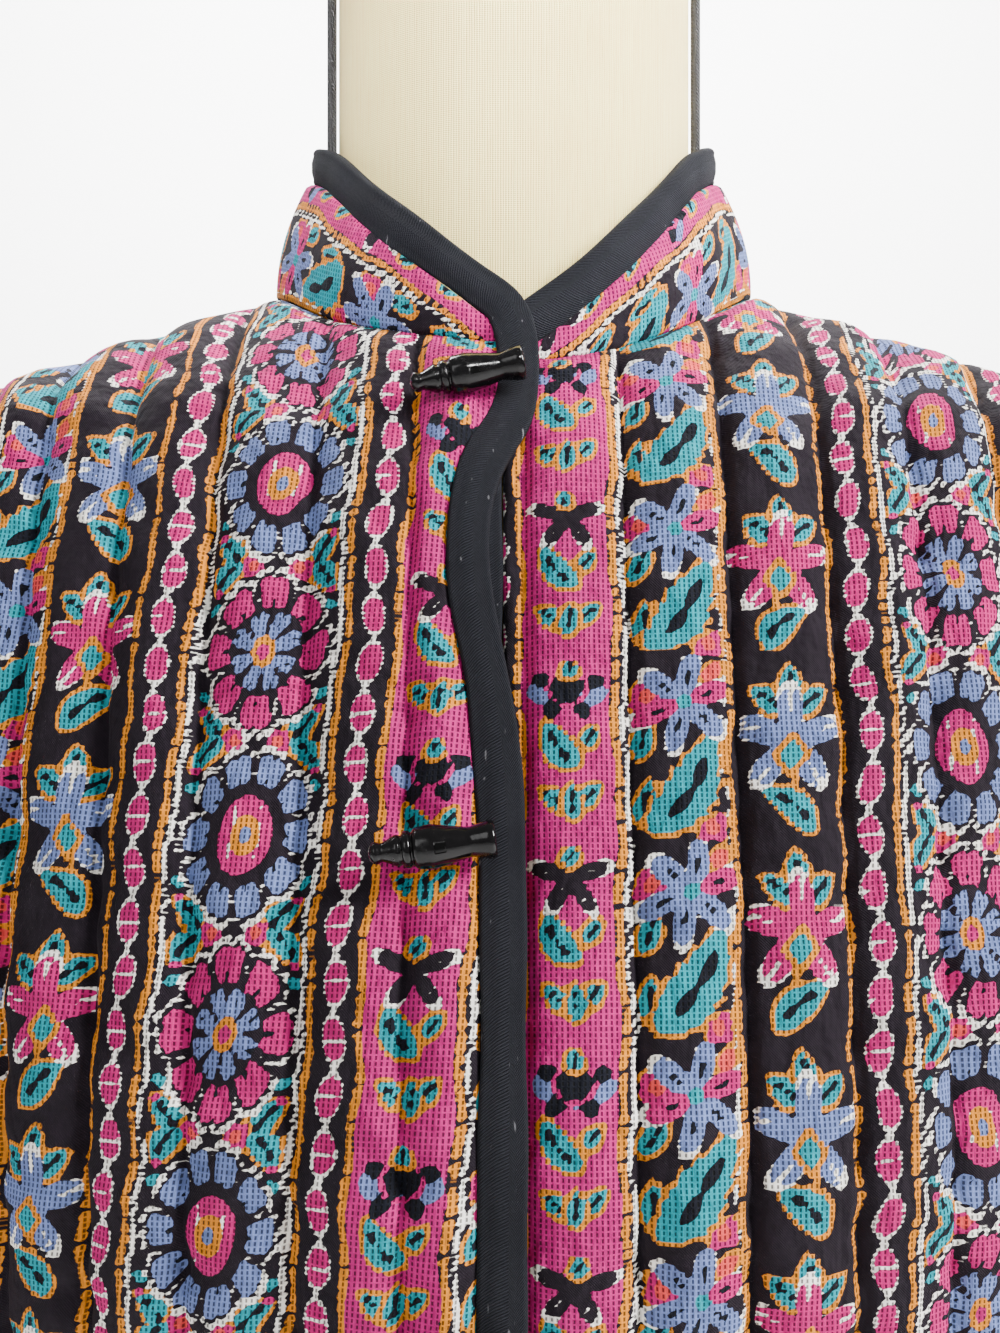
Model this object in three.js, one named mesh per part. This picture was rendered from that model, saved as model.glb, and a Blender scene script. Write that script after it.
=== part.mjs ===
// Quilted mandarin collar jacket standing on a limbless dress form.
// Millimetres. +Z is up, the fronts face -Y, the wearer's left is +X.
// The origin is the centre of the stand's foot, on the surface it stands on.
import * as THREE from "three";

// ---------------------------------------------------------------- driving sizes
const NECK_POINT_HEIGHT = 830; // side neck point, where the shoulder seam meets the collar
const NECK_HALF_WIDTH = 78; // from the neck's axis to the side neck point
const FRONT_NECK_DROP = 32; // front neck edge below the side neck point
const BACK_NECK_RISE = 6;
const SHOULDER_SLOPE = Math.tan((19 * Math.PI) / 180);
const HEM_HEIGHT = 225;
const UNDERARM_HEIGHT = 612;
const ARMHOLE_STRAIGHT_HEIGHT = 690; // the armhole runs straight up from here to the shoulder
const ARMHOLE_HALF_WIDTH = 184; // from the centre to the straight part of the armhole
const GRAIN_HEIGHT = 640; // above this, the stripes run straight up
const CLOTH = 3; // quilted cloth at its stitched valleys
const PUFF = 2.6; // how far a channel's crest stands above its valleys
const CHANNEL = 28; // from one quilting seam to the next
const SEAM = 0.4; // gap between two pieces at a seam
const LAP_LIFT = 6.5; // the lapping front lies this far above the front beneath
const BINDING_WIDTH = 12;
const BINDING_THICKNESS = 4.8;
const TOGGLE_LENGTH = 32;

// ---------------------------------------------------------------- tables
// The jacket's outer form at the quilting valleys: half width, depth to the front and
// to the back of the neck's axis, and squareness of the section at each height.
const BODY = [
  { height: 225, side: 193, front: 137, back: 127, square: 2.45 },
  { height: 330, side: 188, front: 132, back: 118, square: 2.45 },
  { height: 430, side: 184, front: 129, back: 111, square: 2.45 },
  { height: 520, side: 184, front: 131, back: 110, square: 2.45 },
  { height: 575, side: 186, front: 134, back: 112, square: 2.45 },
  { height: 620, side: 193, front: 128, back: 117, square: 2.42 },
  { height: 680, side: 206, front: 111, back: 119, square: 2.3 },
  { height: 740, side: 212, front: 94, back: 111, square: 2.15 },
  { height: 775, side: 214, front: 79, back: 99, square: 2.05 },
  { height: 798, side: 215, front: 64, back: 86, square: 2.0 },
  { height: 815, side: 216, front: 46, back: 75, square: 2.0 },
  { height: 830, side: 217, front: 24, back: 64, square: 2.0 },
  { height: 842, side: 218, front: 6, back: 54, square: 2.0 },
];

// The dress form under the jacket, in the same terms.
const FORM = [
  { height: 212, side: 164, front: 106, back: 106, square: 2.3 },
  { height: 300, side: 166, front: 108, back: 104, square: 2.3 },
  { height: 430, side: 143, front: 98, back: 86, square: 2.3 },
  { height: 520, side: 158, front: 116, back: 94, square: 2.3 },
  { height: 575, side: 171, front: 126, back: 102, square: 2.35 },
  { height: 620, side: 172, front: 120, back: 108, square: 2.3 },
  { height: 680, side: 168, front: 103, back: 110, square: 2.25 },
  { height: 740, side: 166, front: 86, back: 102, square: 2.1 },
  { height: 775, side: 166, front: 71, back: 90, square: 2.0 },
  { height: 798, side: 166, front: 56, back: 77, square: 2.0 },
  { height: 815, side: 166, front: 37, back: 66, square: 2.0 },
  { height: 830, side: 166, front: 14, back: 54, square: 2.0 },
  { height: 842, side: 166, front: 4, back: 40, square: 2.0 },
];
const FORM_LEVELS = [
  212, 222, 260, 300, 365, 430, 480, 520, 550, 575, 600, 640, 680, 715, 745, 768, 785, 797,
  806, 813, 819, 825, 832, 842, 860, 885, 915, 938,
];
const FORM_DROP = 7; // the form's shoulder below the jacket's
const FORM_NECK = { side: 57.5, front: 50, back: 46 };

// Centre line of the binding down the lapping front: its distance to the wearer's left.
const LAP_EDGE = [
  { height: 225, across: -4 },
  { height: 560, across: -4 },
  { height: 662, across: -4 },
  { height: 700, across: -7 },
  { height: 735, across: -13 },
  { height: 762, across: -10 },
  { height: 785, across: 3 },
  { height: 798, across: 3 },
];
const UNDER_EDGE = [
  { height: 225, across: -10 },
  { height: 798, across: -10 },
];

// How the bound edge climbs from each front onto the collar's top.
const COLLAR_HEIGHT = 52;
const COLLAR_ENDS = {
  over: { start: 9, startHeight: 11, run: 100, power: 1.72 },
  under: { start: -16, startHeight: 6, run: 100, power: 1.5 },
};
// Sine of the collar's lean towards the neck, by the angle from the centre front in degrees.
const COLLAR_LEAN = [
  { height: 0, lean: 0.1 },
  { height: 90, lean: 0.26 },
  { height: 180, lean: 0.06 },
];

// Each toggle: height of its middle, its distance to the wearer's left, its tilt in degrees,
// and how far it stands off the cloth's smooth form, which the panel's facets follow.
const TOGGLES = [
  { height: 790, across: -14, tilt: 10.7, off: 1.25 },
  { height: 665, across: -21.6, tilt: 7, off: 1.1 },
  { height: 540, across: -22, tilt: 6, off: 0.7 },
  { height: 415, across: -22, tilt: 8, off: 0.8 },
];
// Turned outline of a toggle from its ball end to its capped end.
const TOGGLE_OUTLINE = [
  { along: 0, radius: 0 },
  { along: 0.5, radius: 1.8 },
  { along: 1.8, radius: 2.9 },
  { along: 3.4, radius: 2.1 },
  { along: 7.4, radius: 3.9 },
  { along: 8.4, radius: 3.3 },
  { along: 9.2, radius: 4.4 },
  { along: 10.5, radius: 4.4 },
  { along: 11.1, radius: 3.7 },
  { along: 12.0, radius: 4.9 },
  { along: 16.0, radius: 5.25 },
  { along: 21.5, radius: 4.3 },
  { along: 25.5, radius: 3.5 },
  { along: 30.5, radius: 4.6 },
  { along: 32, radius: 4.3 },
  { along: 32, radius: 0 },
];

// ---------------------------------------------------------------- materials
const quilt = new THREE.MeshStandardMaterial({ color: 0x6d4258, roughness: 0.9, metalness: 0 });
const twill = new THREE.MeshStandardMaterial({ color: 0x2b2e34, roughness: 0.85, metalness: 0 });
const turned = new THREE.MeshStandardMaterial({ color: 0x0d0c0e, roughness: 0.2, metalness: 0 });
const canvas = new THREE.MeshStandardMaterial({ color: 0xece0c6, roughness: 0.9, metalness: 0 });
const wood = new THREE.MeshStandardMaterial({ color: 0x8a6a48, roughness: 0.5, metalness: 0 });
const steel = new THREE.MeshStandardMaterial({ color: 0xb8b8b8, roughness: 0.3, metalness: 1 });

// ---------------------------------------------------------------- small tools
const vec = (x, y, z) => new THREE.Vector3(x, y, z);
const mix = (a, b, t) => a + (b - a) * t;
const clamp01 = (t) => Math.min(1, Math.max(0, t));
const ease = (t) => clamp01(t) ** 2 * (3 - 2 * clamp01(t));
const softMin = (a, b, blend) =>
  Math.min(a, b) - blend * Math.log1p(Math.exp(-Math.abs(a - b) / blend));
const softMax = (a, b, blend) => -softMin(-a, -b, blend);

// A smooth curve through one column of a table, as a function of height.
function through(table, column) {
  const at = table.map((row) => row.height);
  const value = table.map((row) => row[column]);
  const last = at.length - 1;
  const slope = at.map((_, i) => {
    const before = Math.max(i - 1, 0);
    const after = Math.min(i + 1, last);
    return (value[after] - value[before]) / (at[after] - at[before]);
  });
  return (height) => {
    const h = Math.min(Math.max(height, at[0]), at[last]);
    let i = 0;
    while (i < last - 1 && h > at[i + 1]) i += 1;
    const step = at[i + 1] - at[i];
    const t = (h - at[i]) / step;
    const rise = value[i + 1] - value[i];
    const a = slope[i] * step - rise;
    const b = -slope[i + 1] * step + rise;
    return value[i] + rise * t + t * (1 - t) * (a * (1 - t) + b * t);
  };
}

const bodySide = through(BODY, "side");
const bodyDepth = { front: through(BODY, "front"), back: through(BODY, "back") };
const bodySquare = through(BODY, "square");
const shoulderLine = (z) => NECK_HALF_WIDTH + (NECK_POINT_HEIGHT - z) / SHOULDER_SLOPE;
const bodyWidth = (z) => softMin(shoulderLine(z), bodySide(z), 3);

// Depth of the jacket's section at a distance across and a height.
function depthAt(face, across, z) {
  const square = bodySquare(z);
  const share = Math.min(1, Math.abs(across) / bodyWidth(z));
  return bodyDepth[face](z) * (1 - share ** square) ** (1 / square);
}

// Height at which the shoulder ridge lies a given distance across.
function ridgeHeight(across) {
  let low = ARMHOLE_STRAIGHT_HEIGHT + 40;
  let high = 845;
  for (let i = 0; i < 40; i += 1) {
    const middle = (low + high) / 2;
    if (bodyWidth(middle) > across) low = middle;
    else high = middle;
  }
  return low;
}

// Height of the neck edge or the shoulder seam at a distance across.
function topHeight(face, across) {
  const share = Math.abs(across) / NECK_HALF_WIDTH;
  if (share >= 1) return ridgeHeight(Math.abs(across));
  const change = face === "front" ? -FRONT_NECK_DROP : BACK_NECK_RISE;
  return NECK_POINT_HEIGHT + change * (1 - share * share);
}

// Distance across at which the section at height z has a given length from the centre,
// and the section's whole length from the centre to the side seam.
function sectionArc(face, z) {
  const steps = 96;
  const wide = bodyWidth(z);
  const deep = bodyDepth[face](z);
  const power = 2 / bodySquare(z);
  const across = [0];
  const length = [0];
  let before = [0, deep];
  for (let i = 1; i <= steps; i += 1) {
    const angle = (Math.PI / 2) * (i / steps);
    const now = [wide * Math.sin(angle) ** power, deep * Math.cos(angle) ** power];
    if (i === steps) now[1] = 0;
    length.push(length[i - 1] + Math.hypot(now[0] - before[0], now[1] - before[1]));
    across.push(now[0]);
    before = now;
  }
  const acrossAt = (c) => {
    let i = 0;
    while (i < steps - 1 && c > length[i + 1]) i += 1;
    return mix(across[i], across[i + 1], clamp01((c - length[i]) / (length[i + 1] - length[i])));
  };
  const lengthAt = (x) => {
    let i = 0;
    while (i < steps - 1 && x > across[i + 1]) i += 1;
    return mix(length[i], length[i + 1], clamp01((x - across[i]) / (across[i + 1] - across[i])));
  };
  return { acrossAt, lengthAt, whole: length[steps] };
}

const arcCache = new Map();
function arcAt(face, z) {
  const level = Math.min(z, GRAIN_HEIGHT);
  const key = face + level.toFixed(3);
  if (!arcCache.has(key)) arcCache.set(key, sectionArc(face, level));
  return arcCache.get(key);
}
const armholeAcross = {
  front: arcAt("front", GRAIN_HEIGHT).lengthAt(ARMHOLE_HALF_WIDTH),
  back: arcAt("back", GRAIN_HEIGHT).lengthAt(ARMHOLE_HALF_WIDTH),
};

// ---------------------------------------------------------------- cloth walls
// A panel point from its place in the cloth. `c` is the distance round the body from the
// centre as far as the armhole; past it, `c` minus the armhole's place runs from 0 to 1 over
// what is left to the side seam. `row` runs 0 to 1 from the hem to the armhole's straight
// part, and 1 to 2 from there to the neck edge or shoulder.
function panelPoint(face, c, row) {
  const side = Math.sign(c) || 1;
  const place = Math.abs(c);
  const armhole = armholeAcross[face];
  const beyond = clamp01(place - armhole);
  const corner = ARMHOLE_STRAIGHT_HEIGHT - UNDERARM_HEIGHT;
  const lowTop = UNDERARM_HEIGHT + corner * (1 - Math.sqrt(1 - (1 - beyond) ** 2));
  let z = mix(HEM_HEIGHT, lowTop, Math.min(row, 1));
  let across;
  if (row > 1) {
    across = arcAt(face, z).acrossAt(place);
    const top = topHeight(face, across);
    z = top - (top - z) * (2 - row) ** 2;
  } else {
    const arc = arcAt(face, z);
    const round = place <= armhole ? place : mix(armhole, arc.whole, beyond);
    across = beyond >= 1 ? bodyWidth(Math.min(z, GRAIN_HEIGHT)) : arc.acrossAt(round);
  }
  const depth = depthAt(face, across, z) + SEAM / 2;
  return face === "front" ? vec(side * across, -depth, z) : vec(-side * across, depth, z);
}

// Outward direction of a surface given by two parameters, from small steps along each.
function outward(surface, a, b, aLow, aHigh, bLow, bHigh) {
  const step = 1e-2;
  const along = surface(Math.min(a + step, aHigh), b).sub(surface(Math.max(a - step, aLow), b));
  const up = surface(a, Math.min(b + step, bHigh)).sub(surface(a, Math.max(b - step, bLow)));
  return along.cross(up).normalize();
}

// Closed wall from two grids of points, outer and inner, joined round every free edge.
// Column order and row order turn anticlockwise seen from outside.
function wall(outer, inner, hasCell, wraps = false) {
  const columns = outer.length;
  const rows = outer[0].length;
  const position = [];
  const number = new Map();
  const vertex = (grid, i, j) => {
    const column = i % columns;
    const key = `${grid === outer ? "o" : "i"}${column},${j}`;
    if (!number.has(key)) {
      number.set(key, position.length / 3);
      position.push(...grid[column][j].toArray());
    }
    return number.get(key);
  };
  const index = [];
  const edges = new Map();
  const cellColumns = wraps ? columns : columns - 1;
  for (let i = 0; i < cellColumns; i += 1) {
    for (let j = 0; j < rows - 1; j += 1) {
      if (!hasCell(i, j)) continue;
      const ring = [[i, j], [i + 1, j], [i + 1, j + 1], [i, j + 1]];
      const [a, b, c, d] = ring.map(([m, n]) => vertex(outer, m, n));
      const [e, f, g, h] = ring.map(([m, n]) => vertex(inner, m, n));
      index.push(a, b, c, a, c, d, e, g, f, e, h, g);
      ring.forEach((from, k) => {
        const to = ring[(k + 1) % 4];
        const name = (p) => `${p[0] % columns},${p[1]}`;
        const reverse = `${name(to)}>${name(from)}`;
        if (edges.has(reverse)) edges.delete(reverse);
        else edges.set(`${name(from)}>${name(to)}`, [from, to]);
      });
    }
  }
  for (const [from, to] of edges.values()) {
    const [a, b] = [vertex(outer, ...from), vertex(outer, ...to)];
    const [c, d] = [vertex(inner, ...to), vertex(inner, ...from)];
    index.push(a, d, c, a, c, b);
  }
  const geometry = new THREE.BufferGeometry();
  geometry.setAttribute("position", new THREE.Float32BufferAttribute(position, 3));
  geometry.setIndex(index);
  geometry.computeVertexNormals();
  return geometry;
}

// Height of the quilting above its valleys: a round crest between two sewn lines.
const quilting = (c, start) => PUFF * Math.abs(Math.sin((Math.PI * (c - start)) / CHANNEL)) ** 0.8;

// Places of the quilting's valleys and crests between two distances.
function quiltLines(from, to, start) {
  const half = CHANNEL / 2;
  const lines = [];
  for (let n = Math.ceil((from - start) / half); start + n * half < to; n += 1) {
    if (start + n * half > from) lines.push(start + n * half);
  }
  return lines;
}

const LOW_ROWS = 12;
const HIGH_ROWS = 6;
const SIDE_STEPS = [0.22, 0.6, 1];
const SEAM_PINCH = 1; // rows and columns next to a seam that stay flat

// One cut panel of the body. `columns` are its places across, `lift` moves the cloth out.
function panel(face, columns, start, lift, edgeOf) {
  const armhole = armholeAcross[face];
  const rows = LOW_ROWS + HIGH_ROWS;
  const outer = [];
  const inner = [];
  const count = columns.length;
  columns.forEach((column, i) => {
    outer.push([]);
    inner.push([]);
    for (let j = 0; j <= rows; j += 1) {
      const row = j <= LOW_ROWS ? j / LOW_ROWS : 1 + (j - LOW_ROWS) / HIGH_ROWS;
      const place = edgeOf ? edgeOf(column, i, row) : column;
      if (row > 1 && Math.abs(place) > armhole + 1e-6) {
        outer[i].push(vec(0, 0, 0));
        inner[i].push(vec(0, 0, 0));
        continue;
      }
      const limit = Math.abs(place) > armhole ? 1 : 2;
      const surface = (a, b) => panelPoint(face, a, b);
      const ends = Math.abs(place) > armhole
        ? [place < 0 ? -armhole - 1 : armhole, place < 0 ? -armhole : armhole + 1]
        : [-armhole, armhole];
      const n = outward(surface, place, row, ends[0], ends[1], 0, limit);
      const base = panelPoint(face, place, row).addScaledVector(n, lift(place));
      const seam = i < SEAM_PINCH || i >= count - SEAM_PINCH || j > rows - SEAM_PINCH;
      const arm = Math.abs(place) >= armhole - 1e-6 && row >= 1;
      const puff = seam || arm ? 0 : quilting(place, start);
      outer[i].push(base.clone().addScaledVector(n, puff));
      inner[i].push(base.addScaledVector(n, -CLOTH));
    }
  });
  const inArmhole = (i) =>
    Math.max(Math.abs(columns[i]), Math.abs(columns[i + 1])) > armhole + 1e-6;
  return wall(outer, inner, (i, j) => j < LOW_ROWS || !inArmhole(i));
}

const lapEdge = through(LAP_EDGE, "across");
const underEdge = through(UNDER_EDGE, "across");
const edgeCentre = { over: lapEdge, under: underEdge };
// The lapping front stands off over the front beneath and comes down beside it.
const lapLift = (across) => LAP_LIFT * (1 - ease((-across - 16) / 48));

const neckColumn = arcAt("front", GRAIN_HEIGHT).lengthAt(NECK_HALF_WIDTH);
const backNeckColumn = arcAt("back", GRAIN_HEIGHT).lengthAt(NECK_HALF_WIDTH);

// Places across one half of a panel, from the inner edge to the side seam.
function halfColumns(face, from, start) {
  const armhole = armholeAcross[face];
  const neck = face === "front" ? neckColumn : backNeckColumn;
  const lines = quiltLines(from + 5, armhole - 4, start).filter((c) => Math.abs(c - neck) > 4);
  const sides = SIDE_STEPS.map((f) => armhole + f);
  return [...lines, neck, armhole, ...sides].sort((a, b) => a - b);
}

// Height of a row at the centre front, to find where the bound edge lies.
const rowHeight = (face, row) => panelPoint(face, 1e-3, row).z;

function frontPanel(which) {
  const over = which === "over";
  const half = halfColumns("front", over ? 22 : 4, over ? CHANNEL : 2);
  const side = over ? half.map((c) => -c).reverse() : half;
  const inset = BINDING_WIDTH / 2 + (over ? 1.2 : 0.4);
  const edge = (row) => {
    const centre = edgeCentre[which](rowHeight("front", row));
    return over ? centre - inset : centre + inset;
  };
  const columns = over ? [...side, -1, 0] : [0, ...side];
  const edgeIndex = over ? columns.length - 1 : 0;
  const place = (column, i, row) => {
    if (i === edgeIndex) return edge(row);
    return over && i === edgeIndex - 1 ? (edge(row) - CHANNEL) / 2 : column;
  };
  return panel(
    "front",
    columns,
    over ? 0 : 2,
    over ? lapLift : () => 0,
    place,
  );
}

function backPanel() {
  const half = halfColumns("back", 0, CHANNEL / 2);
  return panel("back", [...half.map((c) => -c).reverse(), 0, ...half], CHANNEL / 2, () => 0);
}

// ---------------------------------------------------------------- neck edge and collar
// The neck edge as a ring. `turn` is the angle from the centre front towards the wearer's
// left, in radians, and runs past half a turn for the back.
function neckEdge(turn) {
  const across = NECK_HALF_WIDTH * Math.sin(turn);
  const face = Math.cos(turn) >= 0 ? "front" : "back";
  const z = topHeight(face, across * 0.9999);
  const depth = depthAt(face, across, z) + SEAM / 2;
  return vec(across, face === "front" ? -depth : depth, z);
}
const RING_STEPS = 720;
const ring = Array.from({ length: RING_STEPS + 1 }, (_, k) =>
  neckEdge(-Math.PI + (2 * Math.PI * k) / RING_STEPS),
);
const ringLength = [0];
for (let k = 1; k <= RING_STEPS; k += 1) {
  ringLength.push(ringLength[k - 1] + ring[k].distanceTo(ring[k - 1]));
}
// The ring's turn at a distance from the centre front, positive to the wearer's left.
function turnAt(distance) {
  const want = distance + ringLength[RING_STEPS / 2];
  let k = 0;
  while (k < RING_STEPS - 1 && want > ringLength[k + 1]) k += 1;
  const share = clamp01((want - ringLength[k]) / (ringLength[k + 1] - ringLength[k]));
  return -Math.PI + (2 * Math.PI * (k + share)) / RING_STEPS;
}
const halfRing = ringLength[RING_STEPS] / 2;
const LAP_REACH = -90; // past this distance round the neck nothing is lifted
const leanAt = through(COLLAR_LEAN, "lean");

// Outward direction of the body's front at a distance across and a height.
function frontNormal(across, z) {
  const step = 0.5;
  const slopeAcross = depthAt("front", across + step, z) - depthAt("front", across - step, z);
  const slopeUp = depthAt("front", across, z + step) - depthAt("front", across, z - step);
  return vec(-slopeAcross, -2 * step, -slopeUp).normalize();
}

// A point of the collar at a distance round the neck, measured from the centre front across
// the wearer's right shoulder (negative), round the back and on to the left, and a height.
// `s` runs from the over end at `start` down through -2 * halfRing to the under end.
function collarFrame(s) {
  const wrapped = s < -halfRing ? s + 2 * halfRing : s;
  const turn = turnAt(wrapped);
  const foot = neckEdge(turn);
  const out = vec(Math.sin(turn), -Math.cos(turn), 0);
  const degrees = Math.abs((turn * 180) / Math.PI);
  const lean = leanAt(degrees);
  const up = vec(-out.x * lean, -out.y * lean, Math.sqrt(1 - lean * lean));
  if (s > LAP_REACH) foot.addScaledVector(frontNormal(foot.x, foot.z), lapLift(foot.x));
  return { foot, out, up };
}
const overStart = COLLAR_ENDS.over.start;
const underStart = COLLAR_ENDS.under.start - 2 * halfRing;

// Height of the collar's finished edge at distance s.
function finishedHeight(s) {
  const rise = (end, from) => {
    const left = clamp01(1 - from / end.run);
    return COLLAR_HEIGHT - (COLLAR_HEIGHT - end.startHeight) * left ** end.power;
  };
  return Math.min(
    rise(COLLAR_ENDS.over, Math.max(overStart - s, 0)),
    rise(COLLAR_ENDS.under, Math.max(s - underStart, 0)),
  );
}
// Height of a line that runs inside the finished edge at a steady distance from it.
function heightInside(s, distance) {
  const slope = finishedHeight(s + 0.5) - finishedHeight(s - 0.5);
  return finishedHeight(s) - distance * Math.hypot(1, slope);
}

const collarPoint = (s, height, out) => {
  const frame = collarFrame(s);
  return frame.foot
    .addScaledVector(frame.up, height)
    .addScaledVector(frame.out, out);
};

const COLLAR_STEPS = 44;
const COLLAR_PUFF = [0, 2.2, 1.2]; // cloth stands out most below the middle
const COLLAR_CLEAR = { ends: 0.4, binding: 1.9, neck: 0.6, rim: 0.4 };
function collar() {
  const first = overStart - BINDING_WIDTH - COLLAR_CLEAR.ends;
  const last = underStart + BINDING_WIDTH * 1.5;
  const outer = [];
  const inner = [];
  for (let i = 0; i <= COLLAR_STEPS; i += 1) {
    // columns run clockwise from above, from the over end across the right shoulder, and
    // are turned round below so that the faces look outward
    const s = mix(last, first, 1 - i / COLLAR_STEPS);
    const top = heightInside(s, BINDING_WIDTH + COLLAR_CLEAR.binding);
    const foot = SEAM + COLLAR_CLEAR.neck;
    outer.push([]);
    inner.push([]);
    COLLAR_PUFF.forEach((puff, k) => {
      const height = mix(foot, top, k / (COLLAR_PUFF.length - 1));
      const swell = k === COLLAR_PUFF.length - 1 ? COLLAR_CLEAR.rim : puff * clamp01((top - 8) / 20);
      outer[i].push(collarPoint(s, height, swell));
      inner[i].push(collarPoint(s, height, -CLOTH));
    });
  }
  outer.reverse();
  inner.reverse();
  return wall(outer, inner, () => true);
}

// ---------------------------------------------------------------- bound edge
// One strip from the over front's hem, up its edge, round the collar's top and down the
// under front. Each station has a centre, a width direction and an outward direction.
const BACK_STATIONS = 22; // between the two ends, round the collar
function bindingStations() {
  const stations = [];
  const frontStation = (which, z) => {
    const across = edgeCentre[which](z);
    const face = (x, h) => vec(x, -depthAt("front", x, h) - SEAM / 2, h);
    const out = frontNormal(across, z);
    const lift = (which === "over" ? LAP_LIFT : 0) - CLOTH / 2;
    return { centre: face(across, z).addScaledVector(out, lift), out };
  };
  const heights = [225, 275, 330, 385, 440, 495, 550, 600, 640, 665, 685, 702, 718, 733, 747,
    760, 772, 784];
  heights.forEach((z) => stations.push(frontStation("over", z)));
  const from = overStart - BINDING_WIDTH / 2;
  const to = underStart + BINDING_WIDTH / 2;
  const ends = [0, 5, 11, 18, 26, 36, 48];
  const farEnds = [60, 48, 36, 26, 17, 9, 4, 0];
  const runs = [
    ...ends.map((d) => from - d),
    ...Array.from({ length: BACK_STATIONS }, (_, k) =>
      mix(from - ends[ends.length - 1], to + farEnds[0], (k + 1) / (BACK_STATIONS + 1)),
    ),
    ...farEnds.map((d) => to + d),
  ];
  runs.forEach((s) => {
    const frame = collarFrame(s);
    const height = heightInside(s, BINDING_WIDTH / 2);
    const centre = frame.foot
      .clone()
      .addScaledVector(frame.up, height)
      .addScaledVector(frame.out, -CLOTH / 2);
    stations.push({ centre, out: frame.out.clone() });
  });
  [...heights].reverse().forEach((z) => stations.push(frontStation("under", z)));
  return stations;
}

const BINDING_SECTION = 8;
function binding() {
  const stations = bindingStations();
  const count = stations.length;
  const position = [];
  stations.forEach(({ centre, out }, k) => {
    const before = stations[Math.max(k - 1, 0)].centre;
    const after = stations[Math.min(k + 1, count - 1)].centre;
    const along = after.clone().sub(before).normalize();
    const wide = along.clone().cross(out).normalize();
    const thick = wide.clone().cross(along).normalize();
    for (let m = 0; m < BINDING_SECTION; m += 1) {
      const angle = (2 * Math.PI * (m + 0.5)) / BINDING_SECTION;
      const power = 0.65;
      const u = Math.sign(Math.cos(angle)) * Math.abs(Math.cos(angle)) ** power;
      const v = Math.sign(Math.sin(angle)) * Math.abs(Math.sin(angle)) ** power;
      const point = centre
        .clone()
        .addScaledVector(wide, (u * BINDING_WIDTH) / 2)
        .addScaledVector(thick, (v * BINDING_THICKNESS) / 2);
      position.push(...point.toArray());
    }
  });
  const index = [];
  const at = (k, m) => k * BINDING_SECTION + (m % BINDING_SECTION);
  for (let k = 0; k < count - 1; k += 1) {
    for (let m = 0; m < BINDING_SECTION; m += 1) {
      index.push(at(k, m), at(k + 1, m + 1), at(k, m + 1), at(k, m), at(k + 1, m), at(k + 1, m + 1));
    }
  }
  for (let m = 1; m < BINDING_SECTION - 1; m += 1) {
    index.push(at(0, 0), at(0, m), at(0, m + 1));
    index.push(at(count - 1, 0), at(count - 1, m + 1), at(count - 1, m));
  }
  const geometry = new THREE.BufferGeometry();
  geometry.setAttribute("position", new THREE.Float32BufferAttribute(position, 3));
  geometry.setIndex(index);
  geometry.computeVertexNormals();
  return geometry;
}

// ---------------------------------------------------------------- sleeves
const SLEEVE_COLUMNS = 24; // a valley and a crest for each of 12 channels
const SLEEVE_HEAD_ROWS = 7;
const SLEEVE_TUBE_ROWS = 7;
const SLEEVE = { halfWidth: 28, halfDepth: 74, top: { x: 224, y: -4 }, cuff: { x: 238, y: -16 } };
const CUFF_HEIGHT = 238;

// The armhole's edge as a closed ring from the shoulder tip, down the front to the
// underarm and up the back, `share` running 0 to 1.
const armholeEdge = [];
{
  const fine = 60;
  const trace = (face, order) => {
    const armhole = armholeAcross[face];
    const points = [];
    for (let k = 0; k <= fine; k += 1) points.push(panelPoint(face, armhole, 2 - k / fine));
    for (let k = 1; k <= fine; k += 1) {
      points.push(panelPoint(face, armhole + k / fine, 1));
    }
    points.forEach((p) => (p.x = Math.abs(p.x)));
    return order > 0 ? points : points.reverse();
  };
  armholeEdge.push(...trace("front", 1), ...trace("back", -1));
}
const armholeLength = [0];
for (let k = 1; k < armholeEdge.length; k += 1) {
  armholeLength.push(armholeLength[k - 1] + armholeEdge[k].distanceTo(armholeEdge[k - 1]));
}
function armholePoint(share) {
  const want = share * armholeLength[armholeLength.length - 1];
  let k = 0;
  while (k < armholeLength.length - 2 && want > armholeLength[k + 1]) k += 1;
  const t = clamp01((want - armholeLength[k]) / (armholeLength[k + 1] - armholeLength[k]));
  return armholeEdge[k].clone().lerp(armholeEdge[k + 1], t);
}

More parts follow.
